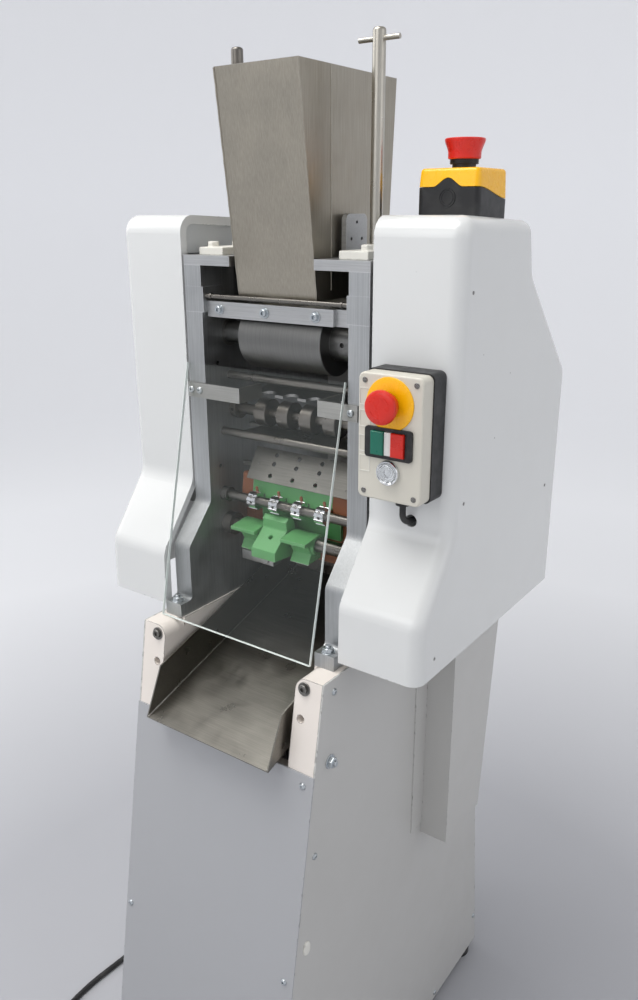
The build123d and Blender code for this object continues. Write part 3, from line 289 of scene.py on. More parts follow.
@dataclass(frozen=True)
class Moulded(Finish):
    """Moulded plastic or rubber with a fine spark-eroded texture."""

    gloss: Pair = (0.35, 0.50)
    texture: float = 0.10
    dusty: float = 0.06

    def build(self) -> bpy.types.Material:
        """Make the plastic."""
        tree = Tree(self.name)
        dust = tree.span(tree.noise(40.0, 5.0), 0.50, 0.80, 0.0, self.dusty)
        tree.colour(tree.mix(dust, self.base, (0.50, 0.49, 0.46)))
        tree.rough(tree.span(tree.noise(90.0, 3.0), 0.3, 0.7, self.gloss[0], self.gloss[1]))
        tree.bump(tree.noise(2600.0, 2.0), self.texture, 0.0002)
        return tree.material


@dataclass(frozen=True)
class Pane(Finish):
    """Thin clear sheet that lets light straight through, with a faint gloss."""

    veil: float = 0.02

    def build(self) -> bpy.types.Material:
        """Make the sheet."""
        tree = Tree(self.name)
        tree.set(Alpha=self.veil, IOR=1.49)
        wipes = tree.noise(14.0, 5.0, (1.0, 1.0, 0.3))
        tree.colour(tree.mix(tree.span(wipes, 0.45, 0.85), self.base, tuple(c * 0.94 for c in self.base)))
        tree.rough(tree.span(wipes, 0.35, 0.75, 0.02, 0.07))
        return tree.material


@dataclass(frozen=True)
class Clear(Finish):
    """Clear sheet or lens."""

    haze: Pair = (0.01, 0.05)
    index: float = 1.46

    def build(self) -> bpy.types.Material:
        """Make the clear plastic."""
        tree = Tree(self.name)
        tree.set(Transmission_Weight=1.0, IOR=self.index)
        wipes = tree.noise(14.0, 5.0, (1.0, 1.0, 0.3))
        tree.colour(tree.mix(tree.span(wipes, 0.5, 0.8), self.base, tuple(c * 0.97 for c in self.base)))
        tree.rough(tree.span(wipes, 0.35, 0.75, self.haze[0], self.haze[1]))
        return tree.material


class Palette(Enum):
    """Every finish on the machine."""

    COVER = Paint("cover_white_gelcoat", "cover_white", lin(216, 217, 216), (0.16, 0.26), lin(120, 122, 124),
                  0.9, 0.15, lin(190, 190, 186), 0.10, 0.05, 0.35)
    # LINER: darker copy of the cover white; the grey is painted shade on the covers' inner sides.
    LINER = Paint("cover_white_painted_shade", "cover_white", lin(196, 199, 201), (0.30, 0.45), dirty=0.12)
    STAND = Paint("stand_cream_enamel", "stand_paint", lin(232, 224, 216), (0.28, 0.42), lin(40, 36, 32),
                  0.5, 0.95, lin(150, 140, 128), 0.16, 0.08)
    SIDE = Paint("side_grey_enamel", "side_paint", lin(192, 191, 188), (0.28, 0.40), lin(90, 88, 84),
                 0.35, 0.2, lin(168, 166, 160), 0.12, 0.05)
    FRONT = Paint("front_grey_enamel", "front_paint", lin(168, 169, 172), (0.30, 0.44), lin(90, 90, 90),
                  0.35, 0.2, lin(168, 170, 172), 0.10, 0.04)
    CASTING = Paint("white_casting_enamel", "white_enamel", lin(226, 224, 216), (0.35, 0.5), lin(70, 66, 60),
                    0.6, 0.5, lin(140, 132, 118), 0.25, 0.12)
    GREEN = Paint("green_enamel_worn", "green_enamel", lin(92, 160, 96), (0.34, 0.50), lin(176, 178, 172),
                  0.7, 0.75, lin(92, 112, 84), 0.35, 0.12)
    MOTOR = Paint("motor_grey_enamel", "motor_grey", lin(112, 118, 124), (0.4, 0.55), dirty=0.3)
    FRAME = Metal("frame_milled_aluminium", "machined_aluminium", lin(178, 180, 181), Grain.ALONG_Z, 520.0,
                  (0.36, 0.56), lin(118, 116, 112), 0.45, 0.5, 0.10)
    BAR = Metal("bar_milled_aluminium", "machined_aluminium", lin(190, 191, 191), Grain.ALONG_X, 620.0,
                (0.30, 0.48), lin(110, 106, 98), 0.35, 0.5, 0.10)
    HOPPER = Metal("hopper_brushed_stainless", "stainless_sheet", lin(166, 160, 148), Grain.ALONG_Z, 900.0,
                   (0.30, 0.44), lin(112, 102, 86), 0.55, 0.25, 0.10)
    # CHUTE: darker copy of the hopper's stainless sheet; the lower base is painted shade for the chute under
    # the guard and hopper.
    CHUTE = Metal("chute_stainless_painted_shade", "stainless_sheet", lin(138, 135, 128), Grain.ALONG_X, 700.0,
                  (0.26, 0.38), lin(120, 112, 98), 0.12, 0.0, 0.02)
    # TRAY: darker copy of the hopper's stainless sheet; the lower base is painted shade for the guide tray and
    # plate inside the works.
    TRAY = Metal("tray_stainless_painted_shade", "stainless_sheet", lin(142, 140, 134), Grain.ALONG_X, 700.0,
                 (0.26, 0.38), lin(104, 98, 88), 0.30, 0.0, 0.02)
    BRACKET = Metal("bracket_bright_stainless", "stainless_sheet", lin(176, 175, 170), Grain.ALONG_X, 700.0,
                    (0.28, 0.40), lin(120, 116, 106), 0.25, 0.2, 0.04)
    # ROLL: darker copy of the plain steel; the lower base is painted shade for the rolls deep between the
    # frames.
    ROLL = Metal("roll_steel_painted_shade", "steel", lin(122, 122, 120), Grain.ROUND_X, 420.0,
                 (0.30, 0.44), lin(104, 100, 92), 0.40, 0.3, 0.16)
    # SHAFT: darker copy of the spindle's bright steel; the lower base is painted shade for the shafts between
    # the frames.
    SHAFT = Metal("shaft_steel_painted_shade", "bright_steel", lin(122, 119, 114), Grain.ROUND_X, 700.0,
                  (0.24, 0.38), lin(110, 88, 64), 0.45, 0.0, 0.04)
    STEEL = Metal("plain_machined_steel", "steel", lin(168, 168, 166), Grain.NONE, 500.0,
                  (0.32, 0.48), lin(96, 88, 78), 0.40, 0.3, 0.10)
    ROD = Metal("rod_drawn_steel", "bright_steel", lin(186, 182, 172), Grain.ALONG_Z, 900.0,
                (0.24, 0.38), lin(120, 100, 76), 0.35, 0.2, 0.08)
    CHROME = Metal("collar_chrome", "chrome", lin(226, 228, 230), Grain.NONE, 300.0, (0.05, 0.14),
                   lin(150, 150, 150), 0.15, 0.0, 0.02)
    ZINC = Metal("fastener_zinc", "zinc", lin(192, 198, 202), Grain.NONE, 800.0, (0.22, 0.40),
                 lin(130, 122, 96), 0.40, 0.3, 0.10)
    DARK_STEEL = Metal("fastener_dark_steel", "zinc", lin(112, 110, 106), Grain.NONE, 800.0, (0.30, 0.48),
                       lin(60, 52, 44), 0.5, 0.4, 0.12)
    BROWN = Paint("backing_brown_phenolic", "brown_phenolic", lin(134, 82, 52), (0.45, 0.65), lin(70, 40, 24),
                  1.2, 0.4, lin(86, 52, 34), 0.6, 0.30)
    GLASS = Pane("guard_clear_acrylic", "clear_acrylic", (0.70, 0.76, 0.74))
    # GLASS_EDGE: pale opaque copy of the clear acrylic, a painted highlight along the guard's edges.
    GLASS_EDGE = Moulded("guard_edge_painted_glint", "clear_acrylic", lin(232, 240, 236), (0.20, 0.35), 0.05, 0.02)
    LENS = Clear("lamp_fluted_lens", "lamp_lens", (0.95, 0.96, 0.96), (0.10, 0.20), 1.49)
    BEIGE = Moulded("station_beige", "beige_plastic", lin(206, 202, 190), (0.34, 0.48), 0.12, 0.12)
    LABEL = Moulded("station_label_field", "beige_plastic", lin(222, 220, 212), (0.40, 0.50), 0.02, 0.05)
    BLACK = Moulded("housing_black", "black_plastic", (0.007, 0.007, 0.008), (0.34, 0.50), 0.05, 0.05)
    YELLOW = Moulded("lid_yellow", "yellow_plastic", lin(250, 186, 4), (0.22, 0.34), 0.05, 0.02)
    RED = Moulded("knob_red", "red_plastic", lin(208, 32, 16), (0.24, 0.36), 0.05, 0.02)
    START = Moulded("key_green", "green_plastic", lin(10, 104, 84), (0.26, 0.40), 0.05, 0.03)
    WHITE = Moulded("key_white_strip", "black_plastic", lin(222, 222, 218), (0.26, 0.40), 0.03, 0.03)
    RUBBER = Moulded("cord_black_rubber", "black_rubber", (0.014, 0.014, 0.015), (0.42, 0.60), 0.16, 0.08)


NODE_FINISHES: dict[str, Palette] = {
    "base_frame": Palette.STAND, "side_panels": Palette.SIDE, "front_panel": Palette.FRONT,
    "rear_panel": Palette.SIDE, "levelling_feet": Palette.RUBBER, "motor_plate": Palette.STEEL,
    "gear_motor": Palette.MOTOR, "cable_glands": Palette.BLACK, "chute": Palette.CHUTE,
    "left_side_frame": Palette.FRAME, "right_side_frame": Palette.FRAME, "top_plate": Palette.BAR,
    "cap_blocks": Palette.FRAME, "rear_guard": Palette.SIDE, "hex_bolts": Palette.ZINC,
    "tie_rods": Palette.SHAFT, "scraper_bar": Palette.BAR, "screws": Palette.ZINC,
    "guard_brackets": Palette.BRACKET, "front_roll": Palette.ROLL, "rear_roll": Palette.ROLL,
    "drive_pulley": Palette.BAR, "disc_shaft": Palette.SHAFT, "disc_comb": Palette.STEEL,
    "guide_tray": Palette.TRAY, "guide_plate": Palette.TRAY, "die_block": Palette.GREEN,
    "die_backing": Palette.BROWN, "feed_shaft": Palette.SHAFT, "feed_collars": Palette.CHROME,
    "feed_belt": Palette.RUBBER, "finger_shaft": Palette.SHAFT, "finger_arms": Palette.GREEN,
    "shaft_bushes": Palette.STEEL, "motor_pulley": Palette.BAR, "drive_belt": Palette.RUBBER,
    "belt_guard": Palette.SIDE, "left_cover": Palette.COVER, "right_cover": Palette.COVER,
    "hopper": Palette.HOPPER, "hopper_bracket": Palette.BAR, "rod_blocks": Palette.CASTING,
    "t_spindle": Palette.ROD, "pressure_pad": Palette.STEEL, "guard": Palette.GLASS,
    "station_base": Palette.BLACK, "station_lid": Palette.BEIGE, "station_stop_stem": Palette.BLACK,
    "station_stop_button": Palette.RED, "start_button": Palette.START, "stop_button": Palette.RED,
    "indicator_lamp": Palette.LENS, "station_cable": Palette.RUBBER, "stop_box_base": Palette.BLACK,
    "stop_box_lid": Palette.YELLOW, "stop_box_stem": Palette.BLACK, "stop_box_button": Palette.RED,
    "cord_coil": Palette.RUBBER, "mains_cord": Palette.RUBBER, "mains_plug": Palette.RUBBER,
}


# ------------------------------------------------------------------ mesh work

def finish_mesh(name: str, bm: bmesh.types.BMesh, finish: Palette, body: str = "root",
                sharp: float = 32.0) -> bpy.types.Object:
    """Turn a bmesh into a shown piece.

    Args:
        name: Piece name.
        bm: The mesh, in the row frame; it is freed.
        finish: Its finish.
        body: Body that it rides on.
        sharp: Edge angle in degrees above which the shading breaks.

    Returns:
        The new object.
    """
    bmesh.ops.remove_doubles(bm, verts=bm.verts, dist=1e-6)
    bmesh.ops.recalc_face_normals(bm, faces=bm.faces)
    limit = math.radians(sharp)
    for face in bm.faces:
        face.smooth = True
    for edge in bm.edges:
        edge.smooth = len(edge.link_faces) == 2 and edge.calc_face_angle(0.0) < limit
    mesh = bpy.data.meshes.new(name)
    bm.to_mesh(mesh)
    bm.free()
    obj = bpy.data.objects.new(name, mesh)
    bpy.context.scene.collection.objects.link(obj)
    mesh.materials.append(finish.value.material())
    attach(obj, body)
    LOG.info("piece %s: %d faces on %s", name, len(mesh.polygons), body)
    return obj


def turned(bm: bmesh.types.BMesh, profile: list[Pair], centre: Point, axis: Point, steps: int = 40) -> None:
    """Add a body of revolution.

    Args:
        bm: Mesh to add to.
        profile: (radius, distance along axis) pairs, in metres.
        centre: Point that distance 0 lies on.
        axis: Direction of the axis.
        steps: Divisions round the axis.
    """
    turn = Vector((0, 0, 1)).rotation_difference(Vector(axis)).to_matrix().to_4x4()
    place = Matrix.Translation(centre) @ turn
    rings: list[list[bmesh.types.BMVert]] = []
    for radius, along in profile:
        if radius < 1e-7:
            rings.append([bm.verts.new(place @ Vector((0, 0, along)))])
            continue
        ring = []
        for i in range(steps):
            a = math.tau * i / steps
            ring.append(bm.verts.new(place @ Vector((radius * math.cos(a), radius * math.sin(a), along))))
        rings.append(ring)
    for low, high in zip(rings, rings[1:]):
        for i in range(steps):
            j = (i + 1) % steps
            if len(low) == 1 and len(high) == 1:
                continue
            if len(low) == 1:
                bm.faces.new((low[0], high[j], high[i]))
            elif len(high) == 1:
                bm.faces.new((low[i], low[j], high[0]))
            else:
                bm.faces.new((low[i], low[j], high[j], high[i]))
    for ring in (rings[0], rings[-1]):
        if len(ring) > 1:
            bm.faces.new(ring)


def prism(bm: bmesh.types.BMesh, outline: list[Pair], place: Matrix, depth: float, bevel: float = 0.0,
          segments: int = 2) -> None:
    """Add a flat outline pushed out to a depth, with its rims rounded.

    Args:
        bm: Mesh to add to.
        outline: Corners in the local XY plane, in metres.
        place: Where local XY lies; local +Z is the way out.
        depth: Thickness.
        bevel: Rim rounding.
        segments: Divisions of the rounding.
    """
    bottom = [bm.verts.new(place @ Vector((x, y, 0))) for x, y in outline]
    top = [bm.verts.new(place @ Vector((x, y, depth))) for x, y in outline]
    n = len(outline)
    rim = []
    for i in range(n):
        j = (i + 1) % n
        bm.faces.new((bottom[i], bottom[j], top[j], top[i]))
    lid = bm.faces.new(top)
    bm.faces.new(list(reversed(bottom)))
    rim = list(lid.edges)
    if bevel > 0:
        bmesh.ops.bevel(bm, geom=rim, offset=bevel, segments=segments, affect="EDGES", profile=0.5)


def slab(bm: bmesh.types.BMesh, low: Point, high: Point, bevel: float = 0.0005, segments: int = 2) -> None:
    """Add a block with all its edges rounded.

    Args:
        bm: Mesh to add to.
        low: Lowest corner.
        high: Highest corner.
        bevel: Edge rounding.
        segments: Divisions of the rounding.
    """
    made = bmesh.ops.create_cube(bm, size=1.0)["verts"]
    size = [h - l for l, h in zip(low, high)]
    middle = [(h + l) / 2 for l, h in zip(low, high)]
    for vert in made:
        vert.co = Vector([m + c * s for m, c, s in zip(middle, vert.co, size)])
    edges = list({edge for vert in made for edge in vert.link_edges})
    bmesh.ops.bevel(bm, geom=edges, offset=bevel, segments=segments, affect="EDGES", profile=0.5)


def facing(centre: Point, out: Point, up: Point = (0, 0, 1)) -> Matrix:
    """Place whose local +Z points out, local +Y points up."""
    z = Vector(out).normalized()
    x = Vector(up).cross(z).normalized()
    y = z.cross(x)
    return Matrix.Translation(centre) @ Matrix((x, y, z)).transposed().to_4x4()


def polygon(radius: float, count: int, start: float = 0.0) -> list[Pair]:
    """Regular outline."""
    return [(radius * math.cos(start + math.tau * i / count), radius * math.sin(start + math.tau * i / count))
            for i in range(count)]


def rounded(width: float, height: float, radius: float, steps: int = 6) -> list[Pair]:
    """Rectangle outline with round corners, about its middle."""
    points: list[Pair] = []
    for cx, cy, a0 in ((1, 1, 0), (-1, 1, 90), (-1, -1, 180), (1, -1, 270)):
        for i in range(steps + 1):
            a = math.radians(a0 + 90 * i / steps)
            points.append((cx * (width / 2 - radius) + radius * math.cos(a),
                           cy * (height / 2 - radius) + radius * math.sin(a)))
    return points


def wire(name: str, points: list[Point], radius: float, finish: Palette, body: str = "root",
         cyclic: bool = False) -> bpy.types.Object:
    """Round bead or wire along a smooth line.

    Args:
        name: Piece name.
        points: Control points in the row frame.
        radius: Wire radius.
        finish: Its finish.
        body: Body that it rides on.
        cyclic: Whether the line closes.

    Returns:
        The new curve object.
    """
    data = bpy.data.curves.new(name, "CURVE")
    data.dimensions = "3D"
    data.bevel_depth = radius
    data.bevel_resolution = 4
    data.resolution_u = 10
    data.use_fill_caps = True
    line = data.splines.new("NURBS")
    line.points.add(len(points) - 1)
    for target, point in zip(line.points, points):
        target.co = (*point, 1.0)
    line.order_u = 3
    line.use_endpoint_u = not cyclic
    line.use_cyclic_u = cyclic
    obj = bpy.data.objects.new(name, data)
    bpy.context.scene.collection.objects.link(obj)
    data.materials.append(finish.value.material())
    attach(obj, body)
    LOG.info("wire %s: %d points on %s", name, len(points), body)
    return obj


# ------------------------------------------------------------------ stage

@dataclass
class Stage:
    """Camera, soft lights and a pale bowl of a floor with painted light: darker near the machine, lighter and
    glowing towards the far wall.
    """

    eye: Point = (0.6985, -0.9551, 1.4256)
    azimuth: float = 35.59
    pitch: float = 18.75
    roll: float = 0.2
    lens: float = 30.66
    floor_radius: float = 5.2
    rise_radius: float = 1.6
    wall_top: float = 4.6

    def camera(self) -> None:
        """Place the camera."""
        data = bpy.data.cameras.new("view")
        data.sensor_fit = "VERTICAL"
        data.sensor_height = 36.0
        data.lens = self.lens
        data.clip_end = 60.0
        obj = bpy.data.objects.new("view", data)
        bpy.context.scene.collection.objects.link(obj)
        a, p = math.radians(self.azimuth), math.radians(self.pitch)
        look = Vector((-math.sin(a) * math.cos(p), math.cos(a) * math.cos(p), -math.sin(p)))
        obj.rotation_mode = "QUATERNION"
        turn = look.to_track_quat("-Z", "Y").to_matrix().to_4x4()
        spin = Matrix.Rotation(math.radians(-self.roll), 4, "Z")
        obj.matrix_world = Matrix.Translation(self.eye) @ turn @ spin
        bpy.context.scene.camera = obj

    def floor(self) -> None:
        """Make the floor, which curves up into a far wall all round; its colour and glow rise with distance as
        painted light.
        """
        bm = bmesh.new()
        profile = [(0.0, 0.0), (self.floor_radius, 0.0)]
        for i in range(1, 13):
            a = math.radians(90 * i / 12)
            profile.append((self.floor_radius + self.rise_radius * math.sin(a),
                            self.rise_radius * (1 - math.cos(a))))
        profile.append((self.floor_radius + self.rise_radius, self.wall_top))
        steps = 96
        rings = []
        for radius, height in profile:
            if radius == 0.0:
                rings.append([bm.verts.new((0, 0, height))])
            else:
                rings.append([bm.verts.new((radius * math.cos(math.tau * i / steps),
                                            radius * math.sin(math.tau * i / steps), height))
                              for i in range(steps)])
        for low, high in zip(rings, rings[1:]):
            for i in range(steps):
                j = (i + 1) % steps
                if len(low) == 1:
                    bm.faces.new((low[0], high[i], high[j]))
                else:
                    bm.faces.new((low[i], high[i], high[j], low[j]))
        for face in bm.faces:
            face.smooth = True
        mesh = bpy.data.meshes.new("floor")
        bm.to_mesh(mesh)
        bm.free()
        obj = bpy.data.objects.new("floor", mesh)
        bpy.context.scene.collection.objects.link(obj)
        tree = Tree("studio_floor_painted_light")
        flat = tree.nodes.new("ShaderNodeVectorMath")
        flat.operation = "MULTIPLY"
        flat.inputs[1].default_value = (1.0, 1.0, 0.0)
        tree.link(tree.place, flat.inputs[0])
        reach = tree.nodes.new("ShaderNodeVectorMath")
        reach.operation = "LENGTH"
        tree.link(flat.outputs["Vector"], reach.inputs[0])
        away = reach.outputs["Value"]
        # Painted light: colour lightens and emission grows with distance, so the floor looks shaded near the
        # machine and the far wall looks brightly lit.
        floor = tree.mix(tree.noise(1.2, 3.0), lin(178, 179, 184), lin(186, 187, 192))
        tree.colour(tree.mix(tree.span(away, 0.8, 2.2), floor, lin(226, 227, 230)))
        tree.set(Roughness=0.75, Emission_Color=(0.96, 0.97, 1.0, 1.0))
        tree.link(tree.span(away, 0.8, 3.2, 0.0, 0.20), tree.shader.inputs["Emission Strength"])
        mesh.materials.append(tree.material)

    def lamp(self, name: str, place: Point, target: Point, size: Pair, power: float, colour: Colour) -> None:
        """Add a soft rectangular light that faces a target."""
        data = bpy.data.lights.new(name, "AREA")
        data.shape = "RECTANGLE"
        data.size, data.size_y = size
        data.energy = power
        data.color = colour
        obj = bpy.data.objects.new(name, data)
        bpy.context.scene.collection.objects.link(obj)
        look = Vector(target) - Vector(place)
        obj.matrix_world = Matrix.Translation(place) @ look.to_track_quat("-Z", "Y").to_matrix().to_4x4()

    def lights(self) -> None:
        """Place the lights and the pale surroundings."""
        self.lamp("ceiling", (-0.5, -0.7, 3.2), (0.0, 0.0, 1.0), (1.8, 1.4), 45.0, (1.0, 0.995, 0.98))
        self.lamp("right_wall", (3.2, 0.2, 2.3), (0.0, 0.0, 1.0), (2.2, 2.0), 7.5, (1.0, 1.0, 1.0))
        self.lamp("left_wall", (-3.0, -0.8, 2.6), (0.0, 0.0, 1.2), (2.2, 1.8), 20.0, (1.0, 1.0, 1.0))
        self.lamp("behind_operator", (-0.6, -3.4, 2.6), (0.0, 0.0, 1.1), (2.4, 1.6), 15.0, (1.0, 1.0, 1.0))
        world = bpy.data.worlds.new("studio")
        world.use_nodes = True
        shade = world.node_tree.nodes["Background"]
        shade.inputs["Color"].default_value = (0.95, 0.95, 0.96, 1.0)
        shade.inputs["Strength"].default_value = 0.52
        bpy.context.scene.world = world
        bpy.context.scene.view_settings.view_transform = "Standard"

    def build(self) -> None:
        """Make the whole stage."""
        self.camera()
        self.floor()
        self.lights()


# ------------------------------------------------------------------ cord

@dataclass
class MainsLead:
    """Mains lead from the stand's left side, along the floor, its spare length coiled, and its plug."""

    length: float = 3.0
    diameter: float = 0.010
    route: list[Point] = field(default_factory=lambda: [
        (-0.186, 0.165, 0.130), (-0.224, 0.165, 0.130), (-0.268, 0.162, 0.104), (-0.306, 0.152, 0.062),
        (-0.343, 0.124, 0.022), (-0.373, 0.070, 0.0065), (-0.388, -0.010, 0.0052), (-0.393, -0.100, 0.0052),
        (-0.402, -0.190, 0.0052), (-0.395, -0.262, 0.0052), (-0.3815, -0.320, 0.0052)])
    turn_radius: float = 0.058
    turns: float = 6.4
    points_per_turn: int = 12

    def coil(self) -> tuple[list[Point], Vector]:
        """Points of the coiled length, and the coil's centre."""
        end = Vector(self.route[-1])
        heading = (end - Vector(self.route[-2])).normalized()
        centre = end + Vector((-heading.y, heading.x, 0)) * self.turn_radius
        start = math.atan2(end.y - centre.y, end.x - centre.x)
        points: list[Point] = []
        layers = ((0.0, 0.0052), (-0.0098, 0.0052), (0.0098, 0.0054), (-0.0050, 0.0142), (0.0050, 0.0146),
                  (0.0, 0.0236), (0.0, 0.0240))
        count = int(self.turns * self.points_per_turn)
        for i in range(1, count + 1):
            place = i / self.points_per_turn
            k = min(int(place), len(layers) - 2)
            ease = place - k
            ease = max(0.0, (ease - 0.55) / 0.45)
            grow = layers[k][0] * (1 - ease) + layers[k + 1][0] * ease
            height = layers[k][1] * (1 - ease) + layers[k + 1][1] * ease
            a = start + math.tau * place
            r = self.turn_radius + grow
            points.append((centre.x + r * math.cos(a), centre.y + r * math.sin(a), height))
        return points, centre

    def plug(self, centre: Vector) -> list[bpy.types.Object]:
        """Plug that lies in front of the coil, and its pins."""
        y = centre.y - 0.073 - 0.026
        z = 0.0202
        x = centre.x
        bm = bmesh.new()
        turned(bm, [(0.0, -0.036), (0.0050, -0.036), (0.0058, -0.030), (0.0052, -0.028), (0.0064, -0.022),
                    (0.0058, -0.020), (0.0082, -0.014), (0.0120, -0.006), (0.0155, 0.000), (0.0160, 0.004),
                    (0.0180, 0.008), (0.0192, 0.010), (0.0192, 0.018), (0.0180, 0.0198), (0.0, 0.0198)],
               (x, y, z), (1, 0, 0), 36)
        body = finish_mesh("plug_body", bm, Palette.RUBBER)
        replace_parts(body, "mains_plug")
        bm = bmesh.new()
        for dy in (-0.0095, 0.0095):
            turned(bm, [(0.0, 0.0195), (0.0023, 0.0195), (0.0023, 0.0365), (0.0016, 0.0385), (0.0, 0.0388)],
                   (x, y + dy, z), (1, 0, 0), 20)
        pins = finish_mesh("plug_pins", bm, Palette.CHROME)
        return [body, pins]

    def build(self) -> None:
        """Make the lead and what is on it."""
        turns, centre = self.coil()
        lead = wire("mains_lead", [*self.route, *turns], self.diameter / 2, Palette.RUBBER)
        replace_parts(lead, "mains_cord", "cord_coil")
        bm = bmesh.new()
        turned(bm, [(0.0, 0.0), (0.0092, 0.0), (0.0088, 0.006), (0.0078, 0.016), (0.0074, 0.018),
                    (0.0070, 0.024), (0.0064, 0.032), (0.0056, 0.037), (0.0050, 0.0375), (0.0, 0.0375)],
               (-0.1855, 0.165, 0.130), (-1, 0, 0), 32)
        relief = finish_mesh("lead_strain_relief", bm, Palette.RUBBER)
        bm = bmesh.new()
        angle = math.radians(-60)
        middle = centre + Vector((math.cos(angle), math.sin(angle), 0)) * self.turn_radius
        across = Vector((math.cos(angle), math.sin(angle), 0))
        outline = rounded(0.0335, 0.0285, 0.006)
        place = facing((middle.x, middle.y, 0.0146), (-across.y, across.x, 0))
        prism(bm, outline, place @ Matrix.Translation((0, 0, -0.003)), 0.006, 0.0008)
        tie = finish_mesh("coil_tie", bm, Palette.BLACK)
        plug = self.plug(centre)


# ------------------------------------------------------------------ detail pieces

FRONT = -0.084     # front face of the side frames
TOP = 1.370        # top plate's upper face
STAND = 0.863      # stand's upper face


def at(x: float, back: float, drop: float) -> Point:
    """Point x across, back behind the frames' front and drop below the top plate, given in millimetres."""
    return (x * MM, FRONT + back * MM, TOP - drop * MM)


@dataclass
class Guard:
    """Polished cut edges of the clear guard, drawn as pale opaque strips: a painted highlight for the light the
    edges catch.
    """

    left: float = -0.150
    right: float = 0.118
    foot: Pair = (-0.1635, 0.8635)
    head: Pair = (-0.0845, 1.2240)
    thickness: float = 0.004
    line: float = 0.0007

    def build(self) -> None:
        """Make the two sides and the foot in one piece that rides on the guard."""
        along = Vector((0, self.head[0] - self.foot[0], self.head[1] - self.foot[1]))
        length = along.length
        up = along.normalized()
        out = Vector((0, -up.z, up.y))
        place = Matrix((Vector((1, 0, 0)), up, out)).transposed().to_4x4()
        place = Matrix.Translation((0, *self.foot)) @ place
        place = place @ Matrix.Translation((0, 0, -0.0001))
        deep = self.thickness + 0.0002
        g = self.line
        bm = bmesh.new()
        for x0, x1, y0, y1 in ((self.left - 0.0001, self.left + g, 0, length),
                               (self.right - g, self.right + 0.0001, 0, length),
                               (self.left, self.right, -0.0001, g)):
            prism(bm, [(x0, y0), (x1, y0), (x1, y1), (x0, y1)], place, deep, 0.0002, 1)
        # Painted highlight: the pale strips stand for the light caught by the clear edges.
        finish_mesh("guard_edges", bm, Palette.GLASS_EDGE, "guard")


